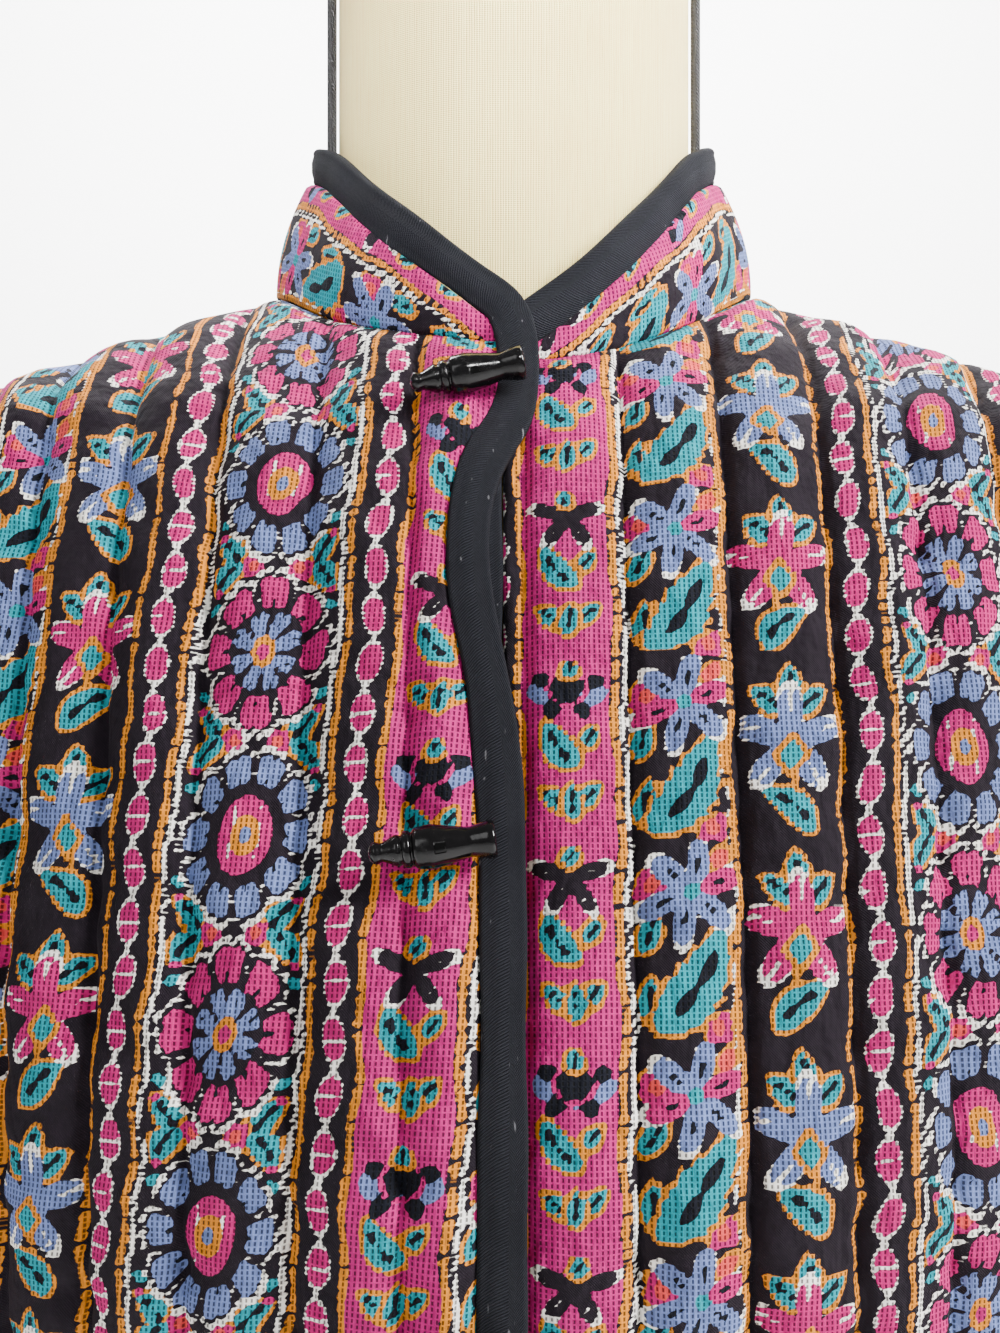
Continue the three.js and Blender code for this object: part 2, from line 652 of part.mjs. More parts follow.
// A point of the left sleeve. `share` goes once round, from the top line forwards;
// `row` runs 0 to 1 over the sleeve head and 1 to 2 down to the cuff.
function sleevePoint(share, row) {
  const angle = 2 * Math.PI * share;
  const power = 0.85;
  const round = (v) => Math.sign(v) * Math.abs(v) ** power;
  const tube = (t) => {
    const cx = mix(SLEEVE.top.x, SLEEVE.cuff.x, t);
    const cy = mix(SLEEVE.top.y, SLEEVE.cuff.y, t);
    return [
      cx + SLEEVE.halfWidth * round(Math.cos(angle)),
      cy - SLEEVE.halfDepth * (1 - 0.1 * t) * round(Math.sin(angle)),
    ];
  };
  const headEnd = 628 + 58 * Math.cos(angle);
  if (row > 1) {
    const [x, y] = tube(row - 1);
    return vec(x, y, mix(headEnd, CUFF_HEIGHT, row - 1));
  }
  const start = armholePoint(share);
  start.x += 1.1;
  start.z += 0.6;
  const [ex, ey] = tube(0);
  const end = vec(ex, ey, headEnd);
  const span = start.distanceTo(end);
  const outTop = vec(0.95, 0, -0.32);
  const outLow = vec(0.75, 0, -0.66);
  const leave = outTop.lerp(outLow, (1 - Math.cos(angle)) / 2).multiplyScalar(span * 1.15);
  leave.y -= span * 0.35 * Math.sin(angle);
  const arrive = vec(0, 0, -1).multiplyScalar(span * 1.1);
  const t = row;
  const h00 = 2 * t ** 3 - 3 * t ** 2 + 1;
  const h10 = t ** 3 - 2 * t ** 2 + t;
  const h01 = -2 * t ** 3 + 3 * t ** 2;
  const h11 = t ** 3 - t ** 2;
  return start
    .multiplyScalar(h00)
    .addScaledVector(leave, h10)
    .addScaledVector(end, h01)
    .addScaledVector(arrive, h11);
}

// `side` is 1 for the wearer's left and -1 for the right, which is its mirror image.
function sleeve(side) {
  const rows = SLEEVE_HEAD_ROWS + SLEEVE_TUBE_ROWS;
  const outer = [];
  const inner = [];
  for (let i = 0; i < SLEEVE_COLUMNS; i += 1) {
    const share = i / SLEEVE_COLUMNS;
    outer.push([]);
    inner.push([]);
    for (let j = rows; j >= 0; j -= 1) {
      const row = j <= SLEEVE_HEAD_ROWS
        ? j / SLEEVE_HEAD_ROWS
        : 1 + (j - SLEEVE_HEAD_ROWS) / SLEEVE_TUBE_ROWS;
      const ringStep = 4e-3;
      const around = sleevePoint((share + ringStep) % 1, row).sub(
        sleevePoint((share - ringStep + 1) % 1, row),
      );
      const down = sleevePoint(share, Math.min(row + ringStep, 2)).sub(
        sleevePoint(share, Math.max(row - ringStep, 0)),
      );
      const n = around.cross(down).normalize();
      if (row === 0) n.x = 0;
      n.normalize();
      const base = sleevePoint(share, row);
      const puff = j === 0 ? 0 : PUFF * (i % 2);
      const out = base.clone().addScaledVector(n, puff);
      const back = base.addScaledVector(n, -CLOTH);
      out.x *= side;
      back.x *= side;
      outer[i].push(out);
      inner[i].push(back);
    }
  }
  // columns run forwards from the top line, clockwise from above on the wearer's left
  if (side > 0) {
    outer.reverse();
    inner.reverse();
  }
  return wall(outer, inner, () => true, true);
}

// ---------------------------------------------------------------- toggles
function toggle() {
  const outline = TOGGLE_OUTLINE.map(({ along, radius }) => new THREE.Vector2(radius, along));
  const geometry = new THREE.LatheGeometry(outline, 12);
  geometry.translate(0, -TOGGLE_LENGTH / 2, 0);
  geometry.rotateZ(-Math.PI / 2); // its axis along X, the ball end to the wearer's right
  return geometry;
}

// How far forward a toggle's axis lies so that it just rests on the lapping front.
function toggleSeat({ height, across, tilt, off }) {
  const slope = Math.tan((tilt * Math.PI) / 180);
  let seat = 0;
  for (const { along, radius } of TOGGLE_OUTLINE) {
    const x = across + along - TOGGLE_LENGTH / 2;
    for (const aside of [-1, -0.5, 0, 0.5, 1]) {
      const z = height + (x - across) * slope + aside * radius;
      const lap = lapEdge(z) - BINDING_WIDTH / 2;
      const proud = x > lap ? BINDING_THICKNESS / 2 - CLOTH / 2 : quilting(x, 0);
      const cloth = depthAt("front", x, z) + lapLift(x) + proud;
      seat = Math.max(seat, cloth + radius * Math.sqrt(1 - aside * aside));
    }
  }
  return seat + off;
}

// ---------------------------------------------------------------- dress form
const formSide = through(FORM, "side");
const formFront = through(FORM, "front");
const formBack = through(FORM, "back");
const formSquare = through(FORM, "square");
const FORM_SIDES = 36;
const FORM_HEM_SHRINK = 0.94; // the canvas turns in at the torso's lower end

function formRadius(angle, z) {
  const s = Math.abs(Math.sin(angle));
  const c = Math.abs(Math.cos(angle));
  const ahead = Math.cos(angle) > 0;
  const square = formSquare(z);
  const width = softMin(Math.max(shoulderLine(z + FORM_DROP), 2), formSide(z), 5);
  const depth = ahead ? formFront(z) : formBack(z);
  const body = ((s / width) ** square + (c / depth) ** square) ** (-1 / square);
  const neck = 1 / Math.hypot(s / FORM_NECK.side, c / (ahead ? FORM_NECK.front : FORM_NECK.back));
  if (z > 838) return neck;
  if (z < 780) return body;
  return softMax(body, neck, 1.5);
}

function formTorso() {
  const position = [];
  const index = [];
  const levels = FORM_LEVELS.length;
  FORM_LEVELS.forEach((z, k) => {
    const shrink = k === 0 ? FORM_HEM_SHRINK : 1;
    for (let m = 0; m < FORM_SIDES; m += 1) {
      const angle = (2 * Math.PI * m) / FORM_SIDES;
      const r = formRadius(angle, z) * shrink;
      position.push(r * Math.sin(angle), -r * Math.cos(angle), z);
    }
  });
  const at = (k, m) => k * FORM_SIDES + (m % FORM_SIDES);
  for (let k = 0; k < levels - 1; k += 1) {
    for (let m = 0; m < FORM_SIDES; m += 1) {
      index.push(at(k, m), at(k, m + 1), at(k + 1, m + 1), at(k, m), at(k + 1, m + 1), at(k + 1, m));
    }
  }
  const middle = position.length / 3;
  position.push(0, 0, FORM_LEVELS[0], 0, 0, FORM_LEVELS[levels - 1]);
  for (let m = 0; m < FORM_SIDES; m += 1) {
    index.push(middle, at(0, m + 1), at(0, m));
    index.push(middle + 1, at(levels - 1, m), at(levels - 1, m + 1));
  }
  const geometry = new THREE.BufferGeometry();
  geometry.setAttribute("position", new THREE.Float32BufferAttribute(position, 3));
  geometry.setIndex(index);
  geometry.computeVertexNormals();
  return geometry;
}

// Thin braid laid down the side of the neck, from the cap into the collar.
function neckBraid(side) {
  const radius = 1.6;
  const away = FORM_NECK.side + radius + 0.5;
  const path = new THREE.CatmullRomCurve3([
    vec(side * away, -4, 935),
    vec(side * away, -4, 910),
    vec(side * away, -4, 885),
    vec(side * away, -4, 862),
  ]);
  const section = new THREE.Shape();
  section.absarc(0, 0, radius, 0, 2 * Math.PI);
  return new THREE.ExtrudeGeometry(section, { steps: 6, curveSegments: 4, extrudePath: path });
}

const lathe = (pairs, sides) =>
  new THREE.LatheGeometry(pairs.map(([r, z]) => new THREE.Vector2(r, z)), sides).rotateX(Math.PI / 2);

const FOOT = { radius: 156, thickness: 22, edge: 5 };
const POST = { radius: 14 };
const CAP = { radius: 53, rim: 7, topRadius: 46, top: 950 };
const REST_GAP = 0.3; // between the form's turned parts and the torso

// ---------------------------------------------------------------- the whole object
const root = new THREE.Group();
function add(name, geometry, material) {
  const mesh = new THREE.Mesh(geometry, material);
  mesh.name = name;
  root.add(mesh);
  return mesh;
}

add("front_over", frontPanel("over"), quilt);
add("front_under", frontPanel("under"), quilt);
add("back", backPanel(), quilt);
add("sleeve_right", sleeve(-1), quilt);
add("sleeve_left", sleeve(1), quilt);
add("collar", collar(), quilt);
add("edge_binding", binding(), twill);
TOGGLES.forEach((row, k) => {
  const mesh = add(`toggle_${k + 1}`, toggle(), turned);
  mesh.position.set(row.across, -toggleSeat(row), row.height);
  mesh.rotation.y = (-row.tilt * Math.PI) / 180;
});

add("form_torso", formTorso(), canvas);
add("form_braid_right", neckBraid(-1), twill);
add("form_braid_left", neckBraid(1), twill);
const capFoot = FORM_LEVELS[FORM_LEVELS.length - 1] + REST_GAP;
add("form_cap", lathe([
  [0, capFoot],
  [CAP.radius, capFoot],
  [CAP.radius, capFoot + CAP.rim],
  [CAP.topRadius, CAP.top],
  [0, CAP.top],
], 36), wood);
add("form_post", lathe([
  [0, FOOT.thickness + REST_GAP],
  [POST.radius, FOOT.thickness + REST_GAP],
  [POST.radius, FORM_LEVELS[0] - REST_GAP],
  [0, FORM_LEVELS[0] - REST_GAP],
], 20), steel);
add("form_base", lathe([
  [0, 0],
  [FOOT.radius, 0],
  [FOOT.radius, FOOT.thickness - FOOT.edge],
  [FOOT.radius - FOOT.edge, FOOT.thickness],
  [0, FOOT.thickness],
], 48), wood);

export default root;
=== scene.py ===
"""Quilted mandarin collar jacket on a dress form: how it looks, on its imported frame."""

import math

import bpy
import numpy as np
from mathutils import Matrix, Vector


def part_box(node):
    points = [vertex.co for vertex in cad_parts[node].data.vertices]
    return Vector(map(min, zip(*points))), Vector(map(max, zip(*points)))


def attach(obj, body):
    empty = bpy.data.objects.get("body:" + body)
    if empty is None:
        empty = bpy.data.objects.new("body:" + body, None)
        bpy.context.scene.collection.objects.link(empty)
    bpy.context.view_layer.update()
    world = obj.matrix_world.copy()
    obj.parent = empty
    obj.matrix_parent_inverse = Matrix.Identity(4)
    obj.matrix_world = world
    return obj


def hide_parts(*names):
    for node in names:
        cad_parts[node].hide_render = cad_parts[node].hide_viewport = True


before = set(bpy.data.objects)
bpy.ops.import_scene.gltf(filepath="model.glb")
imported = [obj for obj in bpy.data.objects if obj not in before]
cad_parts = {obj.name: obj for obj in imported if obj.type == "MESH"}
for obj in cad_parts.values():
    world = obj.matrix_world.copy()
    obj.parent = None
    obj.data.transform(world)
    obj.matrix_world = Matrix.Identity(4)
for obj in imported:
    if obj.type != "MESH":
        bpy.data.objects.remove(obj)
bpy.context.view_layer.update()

# ============================================================ stand
# A turned beech foot, varnished, and a brushed steel post that the torso is threaded onto.
# Both stay bare below the jacket's hem.
MM = 0.001
# places of the colour sockets on a Mix node
MIX_SHARE, MIX_FIRST, MIX_SECOND, MIX_COLOUR = 0, 6, 7, 2


class Look:
    """A socket in one material. Arithmetic on it adds Math nodes to that material."""

    def __init__(self, tree, socket=None):
        self.tree = tree
        self.socket = socket

    def node(self, kind, settings=None, inputs=None, output=0):
        """A new node: its settings first, then the value or link of each input named."""
        made = self.tree.nodes.new(kind)
        for name, value in (settings or {}).items():
            setattr(made, name, value)
        for name, value in (inputs or {}).items():
            self.feed(made.inputs[name], value)
        return Look(self.tree, made.outputs[output])

    def feed(self, target, value):
        """Links a Look to an input, or sets the input to a plain value."""
        if isinstance(value, Look):
            self.tree.links.new(value.socket, target)
        else:
            target.default_value = value

    def math(self, operation, *others):
        """One Math node on this value and the others, in order."""
        values = dict(enumerate((self, *others)))
        return self.node("ShaderNodeMath", {"operation": operation}, values)

    def __add__(self, other):
        return self.math("ADD", other)

    def __mul__(self, other):
        return self.math("MULTIPLY", other)

    def __sub__(self, other):
        return self.math("SUBTRACT", other)

    def __rsub__(self, other):
        return (self * -1.0).math("ADD", other)

    def __truediv__(self, other):
        return self.math("DIVIDE", other)

    __radd__ = __add__
    __rmul__ = __mul__

    def ridge(self):
        """A zigzag: 1 at each whole number, falling evenly to 0 half way between two."""
        return (self.math("FRACT") - 0.5).math("ABSOLUTE") * 2.0

    def fade(self, low, high, bottom=0.0, top=1.0):
        """Runs smoothly from bottom to top while the value goes from low to high."""
        ends = {"From Min": low, "From Max": high, "To Min": bottom, "To Max": top}
        ends["Value"] = self
        return self.node("ShaderNodeMapRange", {"interpolation_type": "SMOOTHSTEP"}, ends)

    def blend(self, first, second):
        """Mixes two colours: the first at 0, the second at 1, in proportion between."""
        colours = {MIX_SHARE: self, MIX_FIRST: first, MIX_SECOND: second}
        return self.node("ShaderNodeMix", {"data_type": "RGBA"}, colours, MIX_COLOUR)

    def parts(self):
        """The three values of this vector, one Look for each."""
        split = self.node("ShaderNodeSeparateXYZ", inputs={"Vector": self}).socket.node
        return [Look(self.tree, socket) for socket in split.outputs]


def tint(red, green, blue):
    """A colour from its screen values, 0 to 255, as a shader reads it: the standard
    screen curve undone, a straight line for the darkest values and a power above."""
    screen = np.array((red, green, blue)) / 255
    linear = np.where(screen <= 0.04045, screen / 12.92, ((screen + 0.055) / 1.055) ** 2.4)
    return (*(float(value) for value in linear), 1.0)


def material(name, **constants):
    """A new material, its surface node and a Look to start its nodes from."""
    made = bpy.data.materials.new(name)
    made.use_nodes = True
    tree = made.node_tree
    surface = tree.nodes["Principled BSDF"]
    for key, value in constants.items():
        surface.inputs[key.replace("_", " ").title().replace("Ior", "IOR")].default_value = value
    return made, surface, Look(tree)


def in_metres(start):
    """The place of a point on the piece, in metres."""
    return start.node("ShaderNodeTexCoord", output="Object")


def on_the_cloth(start):
    """The place of a point on the piece's own map."""
    return start.node("ShaderNodeUVMap", {"uv_map": "cloth"})


def noise(start, vector, scale, detail=2.0, roughness=0.5, stretch=None):
    """Cloudy noise, 0 to 1, with scale cells to a unit of the place times its stretch."""
    if stretch:
        both = {0: vector, 1: stretch}
        vector = start.node("ShaderNodeVectorMath", {"operation": "MULTIPLY"}, both)
    inputs = {"Vector": vector, "Scale": scale, "Detail": detail, "Roughness": roughness}
    return start.node("ShaderNodeTexNoise", inputs=inputs)


def bumped(start, surface, height, distance, strength=1.0, under=None):
    """Raises the surface's fine relief; under is a coarser relief as height and distance."""
    inputs = {"Height": height, "Distance": distance, "Strength": strength}
    if under:
        coarse = {"Height": under[0], "Distance": under[1], "Strength": 1.0}
        inputs["Normal"] = start.node("ShaderNodeBump", inputs=coarse)
    start.feed(surface.inputs["Normal"], start.node("ShaderNodeBump", inputs=inputs))


def fitted(name, node, slot, look, points, faces, uv=None):
    """One piece in a node's place, from points in millimetres and lists of faces. The uv
    is one pair a point."""
    mesh = bpy.data.meshes.new(name)
    mesh.from_pydata((np.asarray(points) * MM).tolist(), [], faces)
    mesh.polygons.foreach_set("use_smooth", np.ones(len(mesh.polygons), dtype=bool))
    if uv is not None:
        corner = np.empty(len(mesh.loops), dtype=np.int32)
        mesh.loops.foreach_get("vertex_index", corner)
        layer = mesh.uv_layers.new(name="cloth")
        layer.data.foreach_set("uv", np.asarray(uv, dtype=np.float32)[corner].ravel())
    mesh.materials.append(look)
    made = bpy.data.objects.new(name, mesh)
    bpy.context.collection.objects.link(made)
    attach(made, "root")
    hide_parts(node)
    return made


def skinned(rows, columns, wraps=True):
    """Faces of a closed tube whose points are numbered ring after ring, with a pole for
    each end after them: a quad between each two neighbours on two rings, and triangles
    from the end rings to the poles. Without wraps a ring repeats its first point."""
    size = columns if wraps else columns + 1
    m = np.arange(columns)
    after = (m + 1) % size
    ring = size * np.arange(rows - 1)[:, None]
    quads = np.stack([ring + m, ring + after, ring + size + after, ring + size + m], -1)
    last = (rows - 1) * size
    low = np.stack([after, m, np.full(columns, rows * size)], -1)
    high = np.stack([last + m, last + after, np.full(columns, rows * size + 1)], -1)
    return quads.reshape(-1, 4).tolist() + low.tolist() + high.tolist()


def turned(outline, sides):
    """Points and faces of a lathe shape about Z. The outline runs from the bottom pole to
    the top pole as radius and height: point (k, m) is radius k at the angle m of a turn."""
    outline = np.asarray(outline, dtype=float)
    radius, height = outline[1:-1, 0], outline[1:-1, 1]
    angle = 2 * np.pi * np.arange(sides) / sides
    x = radius[:, None] * np.sin(angle)
    y = -radius[:, None] * np.cos(angle)
    z = np.repeat(height[:, None], sides, 1)
    points = np.stack([x, y, z], -1).reshape(-1, 3)
    poles = np.array([[0, 0, outline[0, 1]], [0, 0, outline[-1, 1]]])
    return np.concatenate([points, poles]), skinned(len(radius), sides)


def rounded(corners, radius, steps=6):
    """An outline with each inner corner replaced by a bow that starts radius before it,
    or just short of half way along a shorter side, and is pulled towards the corner."""
    corners = [np.asarray(corner, dtype=float) for corner in corners]
    path = [corners[0]]
    for before, corner, after in zip(corners, corners[1:], corners[2:]):
        back, ahead = before - corner, after - corner
        reach = min(radius, 0.45 * np.hypot(*back), 0.45 * np.hypot(*ahead))
        start = corner + back / np.hypot(*back) * reach
        end = corner + ahead / np.hypot(*ahead) * reach
        for t in np.linspace(0, 1, steps):
            path.append((1 - t) ** 2 * start + 2 * t * (1 - t) * corner + t**2 * end)
    path.append(corners[-1])
    return np.array(path)


beech, surface, start = material("stand_wood", roughness=0.42, coat_weight=0.25)
place = in_metres(start)
rings = noise(start, place, 9.0, 3.0, 0.55, stretch=(1.0, 9.0, 1.0))
pores = noise(start, place, 260.0, 2.0, 0.6, stretch=(0.12, 1.0, 1.0))
grain = rings.fade(0.35, 0.65).blend(tint(168, 122, 78), tint(128, 86, 52))
grain = (pores.fade(0.52, 0.72) * 0.5).blend(grain, tint(84, 54, 32))
start.feed(surface.inputs["Base Color"], grain)
start.feed(surface.inputs["Roughness"], rings.fade(0.2, 0.8, 0.34, 0.52))
bumped(start, surface, pores, 0.0002, 0.4)

FOOT = [(0, 0), (156, 0), (156, 17), (151, 22), (0, 22)]  # radius and height
fitted("foot", "form_base", "stand_wood", beech, *turned(rounded(FOOT, 2.0), 160))

steel, surface, start = material("stand_steel", metallic=1.0)
place = in_metres(start)
drawn = noise(start, place, 900.0, 2.0, 0.5, stretch=(1.0, 1.0, 0.02))
haze = noise(start, place, 30.0)
start.feed(surface.inputs["Base Color"], haze.blend(tint(196, 198, 200), tint(168, 170, 174)))
start.feed(surface.inputs["Roughness"], drawn.fade(0.3, 0.7, 0.22, 0.38))
bumped(start, surface, drawn, 0.00005, 0.3)
POST = [(0, 22.3), (14, 22.3), (14, 211.7), (0, 211.7)]
fitted("post", "form_post", "stand_steel", steel, *turned(rounded(POST, 1.2), 64))

# ============================================================ dress form
# A limbless torso covered in cream linen canvas, whose coarse warp threads run straight up
# its neck, with a thin black braid tacked down each side and a varnished cap on top.


def through(table, column):
    """A smooth curve through one column of a table, as a function of its first column:
    between two rows the value and both slopes are met, as a cubic does."""
    table = np.asarray(table, dtype=float)
    at, value = table[:, 0], table[:, column]
    last = len(at) - 1
    before = np.maximum(np.arange(last + 1) - 1, 0)
    after = np.minimum(np.arange(last + 1) + 1, last)
    slope = (value[after] - value[before]) / (at[after] - at[before])

    def curve(height):
        """The straight line between two rows, and what bends it to meet both slopes."""
        height = np.clip(height, at[0], at[-1])
        i = np.clip(np.searchsorted(at, height) - 1, 0, last - 1)
        step = at[i + 1] - at[i]
        t = (height - at[i]) / step
        rise = value[i + 1] - value[i]
        a = slope[i] * step - rise
        b = -slope[i + 1] * step + rise
        return value[i] + rise * t + t * (1 - t) * (a * (1 - t) + b * t)

    return curve


def soft_min(a, b, blend):
    """The lesser of two values, rounded off over about blend where they cross: less blend
    times the logarithm of one plus e to minus their distance over blend."""
    return np.minimum(a, b) - blend * np.log1p(np.exp(-np.abs(a - b) / blend))


def soft_max(a, b, blend):
    """The greater of two values, rounded off in the same way."""
    return -soft_min(-np.asarray(a), -np.asarray(b), blend)


NECK_HALF_WIDTH = 78.0
NECK_POINT_HEIGHT = 830.0
SHOULDER_SLOPE = math.tan(math.radians(19))


def shoulder_line(z):
    """Half width of the sloping shoulders: the neck's, and more by one over the slope for
    each millimetre down."""
    return NECK_HALF_WIDTH + (NECK_POINT_HEIGHT - z) / SHOULDER_SLOPE


# height, half width, depth in front, depth behind, squareness
FORM = [
    (212, 164, 106, 106, 2.3), (300, 166, 108, 104, 2.3), (430, 143, 98, 86, 2.3),
    (520, 158, 116, 94, 2.3), (575, 171, 126, 102, 2.35), (620, 172, 120, 108, 2.3),
    (680, 168, 103, 110, 2.25), (740, 166, 86, 102, 2.1), (775, 166, 71, 90, 2.0),
    (798, 166, 56, 77, 2.0), (815, 166, 37, 66, 2.0), (830, 166, 14, 54, 2.0),
    (842, 166, 4, 40, 2.0),
]
NECK = {"side": 57.5, "front": 50.0, "back": 46.0}
FORM_FOOT, BODY_TOP, NECK_FOOT, FORM_TOP = 212, 780, 838, 938
form_side, form_front, form_back, form_square = (through(FORM, k) for k in (1, 2, 3, 4))


def form_radius(angle, z):
    """Distance of the torso's skin from the neck's axis: a squared oval of the body's
    width and depth, softly joined to the neck's oval above the shoulders."""
    s, c = np.abs(np.sin(angle)) + 1e-9, np.abs(np.cos(angle)) + 1e-9
    ahead = np.cos(angle) > 0
    width = soft_min(np.maximum(shoulder_line(z + 7), 2), form_side(z), 5)
    depth = np.where(ahead, form_front(z), form_back(z))
    square = form_square(z)
    body = ((s / width) ** square + (c / depth) ** square) ** (-1 / square)
    neck = 1 / np.hypot(s / NECK["side"], c / np.where(ahead, NECK["front"], NECK["back"]))
    both = soft_max(body, neck, 1.5)
    return np.where(z > NECK_FOOT, neck, np.where(z < BODY_TOP, body, both))


linen, surface, start = material("form_canvas", roughness=0.9, sheen_weight=0.15)
place = on_the_cloth(start)
round_mm, high_mm, _ = place.parts()
slub = noise(start, place, 1.1, 3.0, 0.6, stretch=(1.0, 0.05, 1.0))
cross_slub = noise(start, place, 1.1, 3.0, 0.6, stretch=(0.05, 1.0, 1.0))
soil = noise(start, place, 0.02, 3.0)
warp = (round_mm * 1.15 + slub * 0.5).ridge()
weft = (high_mm * 1.7 + cross_slub * 0.5).ridge()
thread = (1.0 - warp * warp) * 0.75 + (1.0 - weft * weft) * 0.35
shade = (thread + slub * 0.8).fade(0.35, 1.5).blend(tint(238, 194, 106), tint(255, 238, 160))
shade = (soil.fade(0.45, 0.8) * 0.35).blend(shade, tint(242, 206, 130))
start.feed(surface.inputs["Base Color"], shade)
bumped(start, surface, thread + slub * 0.5, 0.00045, 0.8)

FORM_SIDES, TUCK, TUCK_HEIGHT, MAP_RADIUS = 160, 10.0, 14, 55.0
spans = ((FORM_FOOT, BODY_TOP, 110), (783, 850, 46), (853, FORM_TOP, 36))
levels = np.concatenate([np.linspace(*span) for span in spans])
angle = 2 * np.pi * np.arange(FORM_SIDES + 1) / FORM_SIDES
angle, level = np.meshgrid(angle, levels)
# the canvas is tucked in under the torso's foot
tuck = TUCK * np.clip(1 - (level - FORM_FOOT) / TUCK_HEIGHT, 0, 1) ** 2.2
skin = form_radius(angle, level) - tuck
points = np.stack([skin * np.sin(angle), -skin * np.cos(angle), level], -1).reshape(-1, 3)
canvas_map = np.stack([angle * MAP_RADIUS, level], -1).reshape(-1, 2)
fitted(
    "torso", "form_torso", "form_canvas", linen,
    np.concatenate([points, [[0, 0, FORM_FOOT], [0, 0, FORM_TOP]]]),
    skinned(len(levels), FORM_SIDES, wraps=False),
    np.concatenate([canvas_map, [[0, FORM_FOOT], [0, FORM_TOP]]]),
)

cap_look, surface, start = material("cap_wood", roughness=0.35, coat_weight=0.4)
streak = noise(start, in_metres(start), 14.0, 3.0, 0.55, stretch=(1.0, 7.0, 1.0))
grain = streak.fade(0.35, 0.65).blend(tint(150, 104, 66), tint(112, 74, 46))
start.feed(surface.inputs["Base Color"], grain)
bumped(start, surface, streak, 0.0001, 0.4)
CAP = [(0, 938.3), (53, 938.3), (53, 945.3), (46, 950), (0, 950)]
fitted("neck_cap", "form_cap", "stand_wood", cap_look, *turned(rounded(CAP, 2.0), 128))

braid_look, surface, start = material("form_braid", roughness=0.75, sheen_weight=0.1)
across, along, _ = on_the_cloth(start).parts()
plait = (along * 0.8 + across * 1.2).ridge()
start.feed(surface.inputs["Base Color"], plait.blend(tint(34, 33, 36), tint(16, 15, 18)))
bumped(start, surface, plait, 0.0003, 0.9)


def rod(centre, out, wide, ring_points):
    """A tube along a path. Each station has a centre, an outward and a width direction;
    ring_points gives each point of the section as its share of width and of height.
    Returns points and faces with both ends closed by a middle point."""
    count, size = len(centre), ring_points.shape[-2]
    ring = np.broadcast_to(ring_points, (count, size, 2))
    points = centre[:, None] + wide[:, None] * ring[..., :1] + out[:, None] * ring[..., 1:]
    points = np.concatenate([points.reshape(-1, 3), centre[:1], centre[-1:]])
    return points, [face[:1] + face[:0:-1] for face in skinned(count, size)]


def rod_map(around, along):
    """Map of a rod: distance round its section and along its path, then the two ends."""
    pairs = np.stack([np.tile(around, len(along)), np.repeat(along, len(around))], -1)
    return np.concatenate([pairs, [[0, along[0]], [0, along[-1]]]])


BRAID_RADIUS, BRAID_SIDES, BRAID_STATIONS, BRAID_PLACE = 1.6, 12, 74, (59.6, -4.0)
turn = 2 * np.pi * np.arange(BRAID_SIDES) / BRAID_SIDES
section = BRAID_RADIUS * np.stack([np.cos(turn), np.sin(turn)], -1)
height = np.linspace(862, 935, BRAID_STATIONS)
even = np.ones((BRAID_STATIONS, 1))
for side, name in ((-1, "right"), (1, "left")):
    centre = np.concatenate([even * (side * BRAID_PLACE[0], BRAID_PLACE[1]), height[:, None]], 1)
    points, faces = rod(centre, even * (1.0, 0, 0), even * (0, -1.0, 0), section)
    fitted(
        f"neck_braid_{name}", f"form_braid_{name}", "form_braid", braid_look,
        points, faces, rod_map(turn, height),
    )

# ============================================================ back
# One whole back of striped jacquard, quilted in upright channels over thin wadding. The
# stripes are rows of flowers, leaves and beads woven in bright yarns on a plum-black ground.

# height, half width, depth in front, depth behind, squareness
BODY = [
    (225, 193, 137, 127, 2.45), (330, 188, 132, 118, 2.45), (430, 184, 129, 111, 2.45),
    (520, 184, 131, 110, 2.45), (575, 186, 134, 112, 2.45), (620, 193, 128, 117, 2.42),
    (680, 206, 111, 119, 2.3), (740, 212, 94, 111, 2.15), (775, 214, 79, 99, 2.05),
    (798, 215, 64, 86, 2.0), (815, 216, 46, 75, 2.0), (830, 217, 24, 64, 2.0),
    (842, 218, 6, 54, 2.0),
]
HEM, UNDERARM, ARMHOLE_STRAIGHT, GRAIN = 225.0, 612.0, 690.0, 640.0
CLOTH, PUFF, CHANNEL, SEAM = 3.0, 2.6, 28.0, 0.4
SHOULDER_TIP, NECK_RISE = 184.0, {"front": -32.0, "back": 6.0}
ABOVE_NECK, HALVINGS = 845.0, 40
SLIVER = 0.012  # gap between grid lines that are pressed up against a cut edge
body_side, body_square = through(BODY, 1), through(BODY, 4)
body_depth = {"front": through(BODY, 2), "back": through(BODY, 3)}


def body_width(z):
    """Half width of the jacket's body: its side, cut off softly by the shoulders."""
    return soft_min(shoulder_line(z), body_side(z), 3)


def depth_at(face, across, z):
    """Depth of the body's squared oval at a distance across and a height."""
    square = body_square(z)
    share = np.clip(np.abs(across) / body_width(z), 0, 1)
    return body_depth[face](z) * (1 - share**square) ** (1 / square)


def top_height(face, across):
    """Height of the neck edge, a shallow bow, or of the shoulder seam beyond it, which is
    where the body narrows to the distance across."""
    share = np.abs(across) / NECK_HALF_WIDTH
    low = np.full(np.shape(across), ARMHOLE_STRAIGHT + 40)
    high = np.full(np.shape(across), ABOVE_NECK)
    for _ in range(HALVINGS):
        middle = (low + high) / 2
        wider = body_width(middle) > np.abs(across)
        low, high = np.where(wider, middle, low), np.where(wider, high, middle)
    change = NECK_RISE[face]
    return np.where(share < 1, NECK_POINT_HEIGHT + change * (1 - share**2), low)


def unit(vectors):
    """Each vector over its own length."""
    return vectors / np.linalg.norm(vectors, axis=-1, keepdims=True)


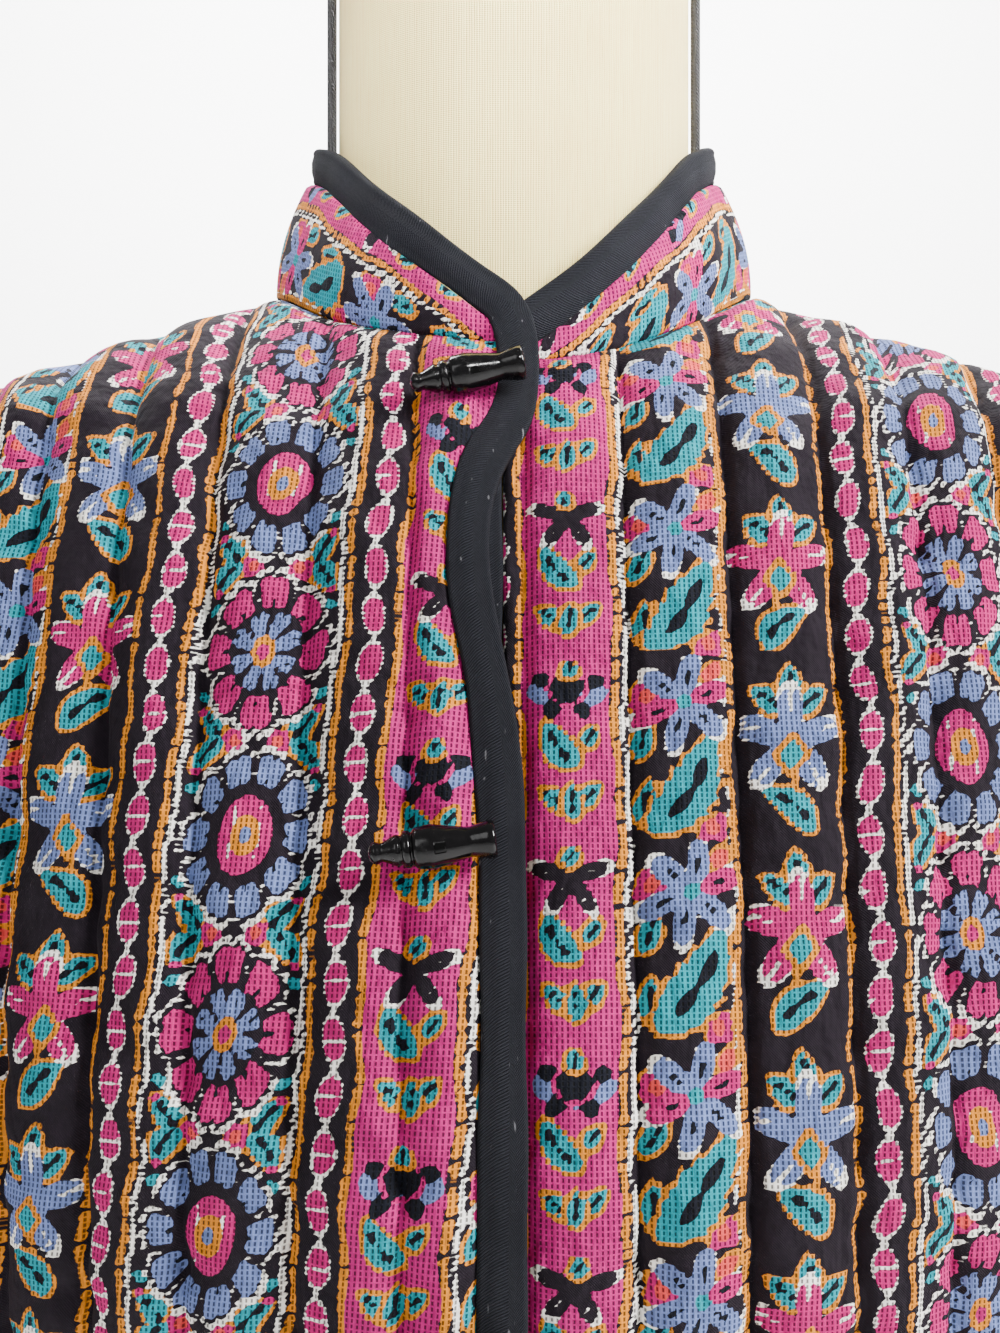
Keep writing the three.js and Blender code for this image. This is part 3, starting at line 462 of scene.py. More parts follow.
def run_of(points):
    """Distance along a path at each of its points: the sum of the steps before it."""
    return np.concatenate([[0], np.cumsum(np.linalg.norm(np.diff(points, axis=0), axis=1))])


def eased(t):
    """Runs smoothly from 0 to 1: three times the square less twice the cube."""
    return t * t * (3 - 2 * t)


def bell(distance, width):
    """1 at no distance, fading as e to minus the square of distance over width."""
    return np.exp(-((distance / width) ** 2))


SHORT = 1e-4  # keeps the last place in a table short of its end


class Section:
    """Half sections of the body by height: place across and depth at each distance round
    from the centre, and each section's whole length to the side seam."""

    def __init__(self, face):
        """Each section is drawn by the angle of its squared oval, then spaced evenly by
        the sum of its short steps."""
        self.face = face
        self.z = np.linspace(HEM, GRAIN, 84)
        angle = np.linspace(0, np.pi / 2, 600)
        power = (2 / body_square(self.z))[:, None]
        x = body_width(self.z)[:, None] * np.sin(angle) ** power
        y = body_depth[face](self.z)[:, None] * np.abs(np.cos(angle)) ** power
        y[:, -1] = 0
        step = np.hypot(np.diff(x), np.diff(y))
        length = np.concatenate([np.zeros((len(self.z), 1)), np.cumsum(step, 1)], 1)
        self.whole = length[:, -1]
        self.c = np.linspace(0, self.whole.max(), 1200)
        self.x, self.y = (
            np.array([np.interp(self.c, row, value) for row, value in zip(length, table)])
            for table in (x, y)
        )

    def look_up(self, table, c, z):
        """Value between the four nearest entries, in proportion."""
        last_row, last_column = len(self.z) - 1, len(self.c) - 1
        a = (np.minimum(z, GRAIN) - HEM) / (GRAIN - HEM) * last_row
        a = np.clip(a, 0, last_row - SHORT)
        b = np.clip(c / self.c[-1] * last_column, 0, last_column - SHORT)
        i, j = a.astype(int), b.astype(int)
        a, b = a - i, b - j
        low = table[i, j] * (1 - b) + table[i, j + 1] * b
        high = table[i + 1, j] * (1 - b) + table[i + 1, j + 1] * b
        return low * (1 - a) + high * a

    def length_to_side(self, z):
        """Distance from the centre to the side seam, held at the grain line above it."""
        return np.interp(np.minimum(z, GRAIN), self.z, self.whole)

    def place(self, c, z):
        """A point of the body's smooth form, c round from the centre, at height z."""
        away = np.minimum(np.abs(c), self.length_to_side(z))
        across = self.look_up(self.x, away, z)
        deep = np.where(z <= GRAIN, self.look_up(self.y, away, z), depth_at(self.face, across, z))
        deep = deep + SEAM / 2  # half the gap between front and back at the side seam
        front = self.face == "front"
        side = np.where(c < 0, -1.0, 1.0) * (1 if front else -1)
        return np.stack([side * across, -deep if front else deep, z + 0 * c], -1)

    def outward(self, c, z):
        """Unit direction out of the form, from short steps along it."""
        step = 0.6
        along = self.place(c + step, z) - self.place(c - step, z)
        up = self.place(c, z + step) - self.place(c, z - step)
        return unit(np.cross(along, up))


sections = {face: Section(face) for face in ("front", "back")}
ARMHOLE = {
    face: float(np.interp(SHOULDER_TIP, section.x[-1], section.c))
    for face, section in sections.items()
}
COLLAR_TUCK = 2.2


def panel_top(face, c):
    """Height of a panel's upper edge: the neck, tucked a little way into the collar, the
    shoulder, then the armhole's quarter round."""
    place = np.abs(c)
    section = sections[face]
    above = np.minimum(place, ARMHOLE[face])
    across = section.look_up(section.x, above, np.full(np.shape(c), GRAIN))
    tuck = COLLAR_TUCK * np.clip((NECK_HALF_WIDTH - across) / 3, 0, 1)
    upper = top_height(face, across) + tuck
    span = section.length_to_side(GRAIN) - ARMHOLE[face]
    beyond = np.clip((place - ARMHOLE[face]) / span, 0, 1)
    corner = ARMHOLE_STRAIGHT - UNDERARM
    lower = UNDERARM + corner * (1 - np.sqrt(np.clip(1 - (1 - beyond) ** 2, 0, 1)))
    return np.where(place <= ARMHOLE[face], upper, lower)


BLACK, PINK, TEAL, ORANGE, SLATE, WHITE, NAVY, CORAL, MAGENTA = range(9)


class Loom:
    """A field of threads. Each shape is laid over the ones before it: where its formula
    covers a thread, that thread takes the shape's yarn."""

    def __init__(self, x, y, ground=BLACK):
        """Every thread starts in the ground's yarn."""
        self.x, self.y = x, y
        self.yarn = np.full(x.shape, ground)

    def lay(self, where, yarn):
        """Gives the threads of one place a yarn."""
        self.yarn = np.where(where, yarn, self.yarn)

    def oval(self, cx, cy, rx, ry, turn=0.0):
        """Distance from a turned oval's centre as a share of its radius."""
        c, s = np.cos(turn), np.sin(turn)
        a, b = self.x - cx, self.y - cy
        return np.hypot((a * c + b * s) / rx, (b * c - a * s) / ry)

    def leaf(self, cx, cy, length, width, turn, bend, teeth):
        """Distance from a leaf's bowed middle line as a share of its half width, then the
        place along it (-1 to 1) and off it. The half width falls to nothing at both tips,
        as a power of one less the square along, and is cut back in even teeth."""
        c, s = np.cos(turn), np.sin(turn)
        a = ((self.x - cx) * c + (self.y - cy) * s) / (length / 2)
        b = (self.y - cy) * c - (self.x - cx) * s - bend * (1 - a**2)
        half = width / 2 * np.clip(1 - a**2, 0, 1) ** 0.7 * (1 - 0.25 * a)
        if teeth:
            half = half * (0.78 + 0.34 * ((a * teeth / 2 + 0.5 * np.sign(b)) % 1))
        return np.where(np.abs(a) < 1, np.abs(b) / np.maximum(half, 1e-3), 9.0), a, b

    def veined(self, cx, cy, length, width, turn, bend=0.0, teeth=0):
        """A teal leaf with an orange rim one thread wide and a dark vein that forks."""
        around, _, _ = self.leaf(cx, cy, length + 2.4, width + 2.2, turn, bend, teeth)
        share, a, b = self.leaf(cx, cy, length, width, turn, bend, teeth)
        self.lay(around < 1, ORANGE)
        self.lay(share < 1, TEAL)
        blotch = 0.11 * width * np.abs(np.sin(a * (5 if width > 12 else 3))) + 0.35
        self.lay((share < 0.6) & (np.abs(b) < blotch) & (np.abs(a) < 0.62), NAVY)

    def bloom(self, cx, cy, radius, petals, turn=0.0, dip=0.4, sharp=1.0):
        """Distance from a flower's centre as a share of its edge, and the angle. The edge
        swings with a cosine between the radius at each petal's tip and the dip between."""
        angle = np.arctan2(self.y - cy, self.x - cx) - turn
        tip = np.abs(np.cos(angle * petals / 2)) ** sharp
        edge = radius * (1 - dip + dip * tip)
        return np.hypot(self.x - cx, self.y - cy) / edge, angle

    def blossom(self, cx, cy, radius=4.6):
        """A small four-petalled flower with an orange rim."""
        share, _ = self.bloom(cx, cy, radius, 4, 0.7, 0.35)
        self.lay(share < 1.2, ORANGE)
        self.lay(share < 1, PINK)
        self.lay(self.oval(cx, cy, radius / 2.2, radius / 2.2) < 1, CORAL)


MOTIF, BEAD, RUNG = 48.0, 13.2, 2.6


def motif(x, v, middle, ground=BLACK):
    """The loom at one motif, and whether it is the second of each pair."""
    return Loom(x - middle, v % MOTIF - MOTIF / 2, ground), np.floor(v / MOTIF) % 2 > 0.5


def bead_stripe(x, v):
    """Pink ovals with a white rim and a white bar, strung on a white thread."""
    loom = Loom(x - 5.2, (v + BEAD / 2) % BEAD - BEAD / 2)
    loom.lay(np.abs(loom.x) < 0.6, WHITE)
    share = loom.oval(0, 0, 2.9, 4.9)
    loom.lay(share < 1.2, WHITE)
    loom.lay(share < 1, PINK)
    loom.lay((np.abs(loom.y) < 0.45) & (np.abs(loom.x) < 2.4), WHITE)
    return loom.yarn


def ladder_stripe(x, v, begin=0.2):
    """A row of short orange floats, one to each rung."""
    loom = Loom(x, v)
    loom.lay((x > begin) & (x < begin + 2.2) & ((v / RUNG) % 1 < 0.76), ORANGE)
    return loom.yarn


def rail_stripe(x, v):
    """A white thread that wavers, beside a ladder."""
    white = np.abs(x - 1.0 - 0.25 * np.sin(v * 1.7)) < 0.6
    return np.where(white, WHITE, ladder_stripe(x, v, 2.3))


def turned_rail_stripe(x, v):
    """The same with its white thread on the other side."""
    return rail_stripe(5.0 - x, v)


def star_stripe(x, v):
    """Pointed stars by turns pink and slate, a fan of leaves over each, one leaf under."""
    loom, second = motif(x, v, 13)
    loom.x = loom.x * np.where(second, 1.0, -1.0)
    loom.veined(0.5, -15.8, 16, 8.0, 0.7, 1.6)
    loom.lay((np.abs(loom.x + 1.5) < 0.6) & (loom.y < -6) & (loom.y > -11), ORANGE)
    for side, high, tilt in ((-5.6, 12.8, 2.5), (5.6, 12.8, 0.64), (0, 17.0, 1.57)):
        loom.veined(side, high, 10.5, 6.0, tilt)
    share, angle = loom.bloom(0, 2.2, 14.2, 5, 1.57, 0.68, 1.6)
    loom.lay(share < 1.11, WHITE)
    loom.lay(share < 1, np.where(second, PINK, SLATE))
    loom.lay((share > 0.5) & (share < 0.95) & (np.abs(np.sin(angle * 2.5)) < 0.13), WHITE)
    loom.lay((share < 0.55) & (np.abs(np.sin(angle * 2.5)) > 0.93), NAVY)
    diamond = np.abs(loom.x) / 3.9 + np.abs(loom.y + 1.6) / 5.0
    loom.lay(diamond < 1.3, ORANGE)
    loom.lay(diamond < 0.85, TEAL)
    return loom.yarn


def magenta_stripe(x, v):
    """A bright band with sprays of leaves and, by turns, a dark flower on a slate haze
    and a black one rimmed with white."""
    loom, second = motif(x, v, 11.2, MAGENTA)
    loom.lay((loom.oval(0.5, 15, 10.2, 5.0) < 1) & ~second, SLATE)
    sprays = ((-4.6, -14.6, 2.5, 8.4), (4.6, -13.6, 0.7, 8.4), (0.2, -15.4, 1.57, 9.0))
    for side, high, tilt, long in sprays:
        loom.veined(side, high + 2, long, 4.6, tilt)
    loom.veined(-2.0, 1.6, 14, 7.6, 2.2, 1.6)
    loom.veined(5.8, 3.4, 7, 4.0, 0.9)
    share, angle = loom.bloom(0.5, 15.8, 9.6, 5, 1.57, 0.78, 1.5)
    loom.lay((share < 1.16) & second, WHITE)
    loom.lay(share < 1, np.where(second, BLACK, NAVY))
    loom.lay((share < 0.75) & (np.abs(np.sin(angle * 2.5)) < 0.14) & second, WHITE)
    loom.lay((np.abs(loom.oval(0.5, 15.8, 5.0, 4.4) - 1) < 0.12) & ~second, PINK)
    loom.veined(0.5, 21.2, 5.5, 4.2, 1.57)
    return loom.yarn


def scroll_stripe(x, v):
    """A large toothed leaf by turns with half flowers, blossoms and small leaves."""
    loom, second = motif(x, v, 12.5)
    loom.lay(np.abs(loom.x - 12.1) < 0.4, WHITE)
    loom.blossom(7.6, -20.6, 4.6)
    loom.veined(-8.6, -14.0, 12, 5.4, 1.5, 0.6)
    loom.veined(-9.0, 3.0, 11, 5.2, 1.3, -0.6)
    loom.blossom(-8.2, 14.0, 4.4)
    loom.veined(9.4, 1.5, 9, 4.6, 0.9)
    loom.veined(0.6, -9.0, 31, 13.0, 0.92, -3.0, 7)
    seed = loom.oval(8.6, 19.8, 3.2, 2.0, 0.7)
    loom.lay(seed < 1.4, ORANGE)
    loom.lay(seed < 1, CORAL)
    share, angle = loom.bloom(1.2, 11.6, 13.2, 6, 0.35, 0.64, 1.5)
    loom.lay(share < 1.12, WHITE)
    loom.lay(share < 1, np.where(np.cos(angle * 3) * np.cos(angle) > 0, PINK, SLATE))
    loom.lay((share < 1) & second & (np.cos(angle) < 0.1), SLATE)
    loom.lay((np.abs(np.sin(angle * 3)) < 0.3) & (share > 0.28) & (share < 0.66), NAVY)
    loom.lay((np.abs(np.cos(angle * 3)) < 0.12) & (share < 0.9), WHITE)
    loom.lay(loom.oval(1.2, 11.6, 2.0, 2.0) < 1, TEAL)
    return loom.yarn


def rosette_stripe(x, v):
    """Tall rosettes that touch, by turns pink and slate: a ring of heart-shaped petals
    with white rims, a ring of small ones or a pink oval, an eye, and leaves in the
    corners. A petal's edge is a power of the cosine round it, less a notch at its middle."""
    loom, second = motif(x, v, 18)
    straight = loom.x
    loom.x = np.abs(loom.x)
    for high in (-1.0, 1.0):
        loom.veined(13.2, high * 20.5, 12, 6.0, high * -0.9, 1.0)
        loom.blossom(6.2, high * 24.0, 3.6)
        loom.lay(loom.oval(16.2, high * 12.0, 2.2, 1.3, high * -0.6) < 1, TEAL)
        loom.lay(loom.oval(16.0, high * 16.0, 1.4, 1.0) < 1, PINK)
    loom.x = straight
    petals = np.where(second, 8, 10)
    squash = 0.76
    angle = np.arctan2(loom.y * squash, loom.x)
    reach = np.hypot(loom.x, loom.y * squash)
    lobe, gap = np.abs(np.cos(angle * petals / 2)), np.abs(np.sin(angle * petals / 2))
    notch = 1.3 * bell(gap, 0.16)
    edge = 17.2 * (0.80 + 0.20 * lobe**0.5) - notch
    jag = 0.35 * np.sign(np.sin(angle * petals * 4))
    loom.lay(reach < edge + 0.85 + jag, WHITE)
    loom.lay(reach < edge - 0.25, BLACK)
    petal = (reach < edge - 1.1) & (lobe > 0.42) & (reach > np.where(second, 9.2, 9.8))
    loom.lay(petal, np.where(second, PINK, SLATE))
    loom.lay(petal & (gap < 0.2) & (reach < 11.6), NAVY)
    loom.lay((reach < edge - 0.6) & (lobe < 0.12) & (reach > 10.5), WHITE)
    small = (reach < 8.8 - 1.6 * (1 - gap)) & (gap > 0.42) & second
    loom.lay(small, SLATE)
    loom.lay(small & (lobe < 0.2) & (reach > 4.5), NAVY)
    oval = np.hypot(loom.x / 6.8, loom.y / 10.0)
    loom.lay((oval < 1) & ~second, PINK)
    loom.lay((oval < 0.9) & (np.abs(np.abs(loom.x) - 3.4) < 0.4) & ~second, WHITE)
    loom.lay(oval < np.where(second, 0.42, 0.52), ORANGE)
    loom.lay(oval < 0.24, np.where(second, PINK, SLATE))
    return loom.yarn


STRIPES = (
    (rosette_stripe, 36.0), (rail_stripe, 5.0), (bead_stripe, 10.4), (ladder_stripe, 2.6),
    (magenta_stripe, 22.4), (turned_rail_stripe, 5.2), (scroll_stripe, 25.0),
    (ladder_stripe, 3.4), (star_stripe, 26.0), (ladder_stripe, 3.2), (bead_stripe, 10.4),
    (turned_rail_stripe, 5.4),
)


def woven(u, v):
    """Yarn of the cloth at a distance across the stripes and one along them, both pulled
    a little to and fro by the quilting, as a sum of short waves."""
    pulled = u + 0.7 * np.sin(v / 8.3 + 0.06 * u) + 0.4 * np.sin(v / 3.3 + 0.11 * u)
    v = v + 0.5 * np.sin(u / 9)
    u = pulled % sum(width for _, width in STRIPES)
    yarn = np.zeros(u.shape, dtype=int)
    edge = 0.0
    for stripe, width in STRIPES:
        here = (u >= edge) & (u < edge + width)
        yarn[here] = stripe(u[here] - edge, v[here])
        edge += width
    return yarn


# colour, and how readily the yarn covers its neighbours
YARNS = {
    BLACK: (tint(24, 16, 25), 1.0), PINK: (tint(186, 22, 106), 1.0),
    TEAL: (tint(14, 142, 154), 1.0),
    ORANGE: (tint(212, 128, 24), 1.15), SLATE: (tint(104, 120, 172), 1.0),
    WHITE: (tint(250, 245, 236), 1.1), NAVY: (tint(12, 14, 24), 1.1),
    CORAL: (tint(220, 66, 66), 1.0), MAGENTA: (tint(182, 24, 110), 1.0),
}


def yarn_shares(u, v, cell):
    """Share of each yarn in the patch of cloth round each point, counted at nine places
    in it and weighted by how readily the yarn covers."""
    shares = np.zeros((*u.shape, len(YARNS)), dtype=np.float32)
    steps = (-0.36, 0.0, 0.36)
    for step_u in steps:
        for step_v in steps:
            yarn = woven(u + step_u * cell[0], v + step_v * cell[1])
            shares += yarn[..., None] == np.arange(len(YARNS))
    weights = np.array([weight for _, weight in YARNS.values()], dtype=np.float32)
    return shares / len(steps) ** 2 * weights


YARN_SETS = ("yarn_a", "yarn_b", "yarn_c")
jacquard, surface, start = material("quilted_cloth", roughness=0.9, specular_ior_level=0.2)
thread_place, solid_place = on_the_cloth(start), in_metres(start)
thread_u, thread_v, _ = thread_place.parts()
share_of = []  # one value a yarn, carried three at a time by three attributes of the mesh
for name in YARN_SETS:
    found = start.node("ShaderNodeAttribute", {"attribute_name": name}, output="Vector")
    share_of += found.parts()
tooth = thread_v.ridge() * 0.25 - 0.125
most = share_of[BLACK] + 0.02
yarn_colour, coloured = None, None
for number in range(1, len(YARNS)):
    reach = 1.3 if number == WHITE else 0.5  # the white outlines are the most toothed
    lifted = share_of[number] + tooth * share_of[number].fade(0.0, 0.3) * reach
    wins = (lifted - most).fade(-0.07, 0.07)
    below = yarn_colour if yarn_colour else YARNS[BLACK][0]
    yarn_colour = wins.blend(below, YARNS[number][0])
    coloured = coloured.math("MAXIMUM", wins) if coloured else wins
    most = most.math("MAXIMUM", lifted)
# coloured floats lie over a net of small dark holes, the plain ground is ribbed
pit_u, pit_v = thread_u.ridge(), thread_v.ridge()
hole = pit_u.fade(0.22, 0.5, 1.0, 0.0) * pit_v.fade(0.5, 0.82, 1.0, 0.0)
cell = start.node("ShaderNodeVectorMath", {"operation": "FLOOR"}, {0: thread_place})
speckle = start.node("ShaderNodeTexWhiteNoise", {"noise_dimensions": "2D"}, {"Vector": cell})
ribs = (thread_u * 2.0 + thread_v * 2.0).ridge()
fuzz = noise(start, solid_place, 2600.0, 2.0, 0.6)
wear = noise(start, solid_place, 16.0, 3.0)
bright = speckle.fade(0.0, 1.0, 0.84, 1.1) * wear.fade(0.3, 0.7, 0.92, 1.06)
bright = bright * (1.0 - hole * coloured * 0.78)
bright = bright * (ribs * (1.0 - coloured) * 0.5 + coloured * 0.35 + 0.65)
lit = {0: yarn_colour, "Scale": bright}
scaled = start.node("ShaderNodeVectorMath", {"operation": "SCALE"}, lit)
furred = (fuzz.fade(0.6, 0.85) * 0.1).blend(scaled, tint(110, 100, 108))
start.feed(surface.inputs["Base Color"], furred)
yarn_height = (1.0 - hole) * coloured + ribs * (1.0 - coloured) * 0.35
rumple = noise(start, solid_place, 62.0, 3.0, 0.6, stretch=(1.5, 1.5, 0.62))
ruck = noise(start, solid_place, 150.0, 2.0, 0.5, stretch=(1.0, 1.0, 1.5))
bumped(start, surface, yarn_height + fuzz * 0.4, 0.0004, 0.8, under=(rumple + ruck * 0.3, 0.004))


GATHER = 6


def sewn(name, node, outer, inner, thread, shares, wraps=False):
    """One closed piece of cloth. The outer grid has a quad for each thread crossing, the
    inner grid a point for each GATHER of them, and fans of triangles join their edges.
    Thread is the map of the outer grid, shares the yarns at each of its points."""
    columns, rows = outer.shape[:2]
    outer_number = np.arange(columns * rows).reshape(columns, rows)
    inner_number = np.arange(inner[..., 0].size).reshape(inner.shape[:2]) + outer_number.size
    if wraps:
        outer_number = np.concatenate([outer_number, outer_number[:1]])
        inner_number = np.concatenate([inner_number, inner_number[:1]])

    def corners(grid):
        """The four corners of each cell of a grid, in order round it."""
        return np.stack([grid[:-1, :-1], grid[1:, :-1], grid[1:, 1:], grid[:-1, 1:]], 2)

    def fans(fine, coarse):
        """Triangles between a fine edge and a coarse one that run the same way: each fine
        step to the nearer coarse point, and each coarse step to the fine point half way."""
        made, count = [], len(coarse) - 1
        for k in range(GATHER):
            near = coarse[:-1] if k < GATHER / 2 else coarse[1:]
            here, following = fine[k:-1:GATHER][:count], fine[k + 1 :: GATHER][:count]
            made.append(np.stack([here, near, following], -1))
        half = fine[GATHER // 2 :: GATHER][:count]
        made.append(np.stack([half, coarse[:-1], coarse[1:]], -1))
        return np.concatenate(made)

    edges = [
        fans(outer_number[:, 0], inner_number[:, 0]),
        fans(outer_number[::-1, -1], inner_number[::-1, -1]),
    ]
    if not wraps:
        edges.append(fans(outer_number[-1], inner_number[-1]))
        edges.append(fans(outer_number[0, ::-1], inner_number[0, ::-1]))
    top = corners(outer_number).reshape(-1, 4)
    under = corners(inner_number).reshape(-1, 4)[:, ::-1]
    faces = top.tolist() + under.tolist() + np.concatenate(edges).tolist()
    points = np.concatenate([outer.reshape(-1, 3), inner.reshape(-1, 3)])
    made = fitted(name, node, "quilted_cloth", jacquard, points, faces)
    mesh = made.data
    layer = mesh.uv_layers.new(name="cloth")
    pairs = np.zeros((len(mesh.loops), 2), dtype=np.float32)
    pairs[: top.size] = corners(thread).reshape(-1, 2)
    layer.data.foreach_set("uv", pairs.ravel())
    every = np.zeros((len(mesh.vertices), len(YARNS)), dtype=np.float32)
    every[:, BLACK] = 1
    every[: columns * rows] = shares.reshape(-1, len(YARNS))
    for k, yarn_set in enumerate(YARN_SETS):
        three = np.ascontiguousarray(every[:, 3 * k : 3 * k + 3])
        carried = mesh.attributes.new(yarn_set, "FLOAT_VECTOR", "POINT")
        carried.data.foreach_set("vector", three.ravel())
    return made


def whole_cells(length, cell):
    """The least multiple of GATHER cells that covers a length."""
    return int(math.ceil(length / cell / GATHER)) * GATHER


def wander(c, z, seed):
    """Slow unevenness of hand sewing, from -1 to 1: a sum of four long waves."""
    total = np.sin(c / 31 + seed) * np.sin(z / 57 + 2.1 * seed)
    total = total + 0.6 * np.sin(c / 13 + z / 41 + 4.3 * seed)
    total = total + 0.5 * np.sin(z / 19 - c / 23 + 1.7 * seed)
    return (total + 0.3 * np.sin(z / 9.7 + 3.1 * seed)) / 2.4


def rumpled(c, z, seed):
    """Small folds of soft cloth, about -1 to 1: the sum of three waves 12 to 25 mm long,
    most of them across the channels, each bent by a slower one."""
    c, z = c + 3.0 * np.sin(z / 13 + seed), z + 3.5 * np.sin(c / 9 + 2 * seed)
    total = np.sin(z / 2.4 + 1.1 * np.sin(c / 6.1)) * np.sin(c / 7.7 + z / 31 + seed)
    total = total + 0.8 * np.sin(z / 3.7 - c / 8.9 + 2.3 * seed)
    return (total + 0.6 * np.sin(c / 3.9 + z / 6.7 + 0.9 * seed) * np.sin(z / 11 + seed)) / 1.7


CROWN = 0.72  # a channel's section is the sine across it to this power


def quilting(c, z, start, seed):
    """Height of the cloth above the sewn lines: round channels over the wadding, uneven
    along their length, with short puckers that die out away from each line of stitches."""
    phase = (c - start) / CHANNEL
    row = np.round(phase)
    nearest = np.abs(phase - row) * CHANNEL
    crest = np.abs(np.sin(np.pi * phase)) ** CROWN
    full = 1 + 0.16 * wander(c, z, seed)
    pucker = np.sin(z / 1.9 + 1.3 * np.sin(z / 11 + row) + 2.3 * row) * bell(nearest, 4.2)
    long_pucker = np.sin(z / 4.4 + 2.9 * row + np.sin(z / 23)) * bell(nearest, 8.5)
    groove = 1.5 * bell(nearest, 1.5)
    wrinkle = 0.35 * wander(3 * c, 2.2 * z, seed + 1) + 0.62 * rumpled(c, z, seed)
    return (PUFF + 1.5) * crest * full + 0.3 * pucker + 0.75 * long_pucker + wrinkle - groove


def creases(c, z, folds):
    """Soft ridges and troughs. Each has a middle, a direction in degrees from level, half
    its length, its width and its height: a bell across, fading to nothing at both ends."""
    total = np.zeros(np.shape(c))
    for middle_c, middle_z, direction, reach, width, height in folds:
        turn = math.radians(direction)
        a = (c - middle_c) * math.cos(turn) + (z - middle_z) * math.sin(turn)
        b = (z - middle_z) * math.cos(turn) - (c - middle_c) * math.sin(turn)
        b = b + reach * 0.06 * np.sin(a / reach * 2.2)
        along = np.clip(1 - (a / reach) ** 2, 0, 1) ** 2
        total = total + 1.4 * height * along * bell(b, width)
    return total


def edge_fall(distance, radius=2.0):
    """How far a turned edge falls away: a quarter round of the given radius, stopped just
    before it turns straight down."""
    inside = np.clip(1 - np.clip(distance, 0, None) / radius, 0, 1)
    return radius * (1 - np.sqrt(1 - inside**2 * 0.98))


SEAM_REACH = 9.0  # the wadding is pressed flat this far in from a seam
SHOULDER_START = 700.0  # above this the cloth leans in, so its rows are spaced along it


def nothing(place):
    """Nothing, wherever the place."""
    return 0 * place


def panel(
    name, node, face, c_edges, cell, start, offset, seed, folds, edge_of,
    lift=nothing, drift=nothing,
):
    """A cut panel of the body on a grid of threads. Columns keep their distance round the
    body and rows their height; past a cut edge they are pressed up against it. The lift
    is how far each column stands off the body, and the drift how far the stripes have
    moved across at each height."""
    section = sections[face]
    low_c, high_c = c_edges
    tall = NECK_POINT_HEIGHT + 12 - HEM  # a little over the neck point, then pressed down
    across, rows = whole_cells(high_c - low_c, cell[0]), whole_cells(tall, cell[1])
    c = low_c + (high_c - low_c) * np.arange(across + 1) / across
    z = HEM + tall * np.arange(rows + 1) / rows
    c, z = np.meshgrid(c, z, indexing="ij")
    from_left, from_top = np.arange(across + 1)[:, None], np.arange(rows, -1, -1)[None]
    z = np.minimum(z, panel_top(face, c) - SLIVER * from_top)
    low_limit, high_limit = edge_of(z, section.length_to_side(z))
    c = np.clip(c, low_limit + SLIVER * from_left, high_limit - SLIVER * (across - from_left))
    z = np.minimum(z, panel_top(face, c) - SLIVER * from_top)
    normal = section.outward(c, z)
    base = section.place(c, z) + normal * lift(c)[..., None]
    gap = np.minimum.reduce([c - low_limit, high_limit - c, z - HEM, panel_top(face, c) - z])
    clear = eased(np.clip(gap / SEAM_REACH, 0, 1))
    height = quilting(c, z, start, seed) * clear + creases(c, z, folds) * clear
    outer = base + normal * (height - edge_fall(gap))[..., None]
    inner = base[::GATHER, ::GATHER] - normal[::GATHER, ::GATHER] * CLOTH
    u = c * (1 if face == "front" else -1) + offset[0] + drift(z)
    climb = np.linalg.norm(np.diff(base, axis=1), axis=2)
    climb = np.where(z[:, 1:] > SHOULDER_START, climb, np.diff(z, axis=1))
    v = z[:, :1] + offset[1] + np.concatenate([0 * z[:, :1], np.cumsum(climb, 1)], 1)
    thread = np.stack([u / cell[0], v / cell[1]], -1)
    return sewn(name, node, outer, inner, thread, yarn_shares(u, v, cell))


# middle round the body and height, direction, half length, width, height
BACK_FOLDS = [
    (-150, 600, 62, 90, 11, 2.2), (-120, 560, 55, 70, 9, -1.6), (150, 610, 118, 95, 12, 2.4),
    (118, 570, 122, 72, 9, -1.8), (-60, 470, 8, 80, 12, 1.4), (40, 452, 174, 90, 13, 1.6),
    (70, 505, 170, 70, 10, -1.2), (-30, 770, 175, 60, 10, 1.2), (-170, 330, 84, 90, 13, 1.8),
    (165, 350, 97, 95, 14, -1.6), (20, 300, 92, 70, 12, 1.3),
]


def back_edges(z, limit):
    """From one side seam to the other."""
    return -limit, limit


widest = float(sections["back"].whole.max())
back = panel(
    "quilted_back", "back", "back", (-widest, widest), (1.86, 1.9), CHANNEL / 2, (18.0, 4.0),
    1.3, BACK_FOLDS, back_edges,
)

# ============================================================ fronts
# Two quilted fronts. The wearer's right one laps over the left one, so it stands proud of
# it at the middle and its bound edge swings out a little between the two upper toggles.
LAP_LIFT, BINDING_WIDTH, BINDING_THICKNESS = 6.5, 12.0, 4.8
LAP_EDGE = [  # height and place across
    (225, -4), (560, -4), (662, -4), (700, -7), (735, -13), (762, -10), (785, 3), (798, 3),
]
lap_edge = through(LAP_EDGE, 1)
UNDER_EDGE = -10.0


def lap_lift(across):
    """Height of the lapping front over the other: full at its edge, none 64 mm in."""
    return LAP_LIFT * (1 - eased(np.clip((-across - 16) / 48, 0, 1)))


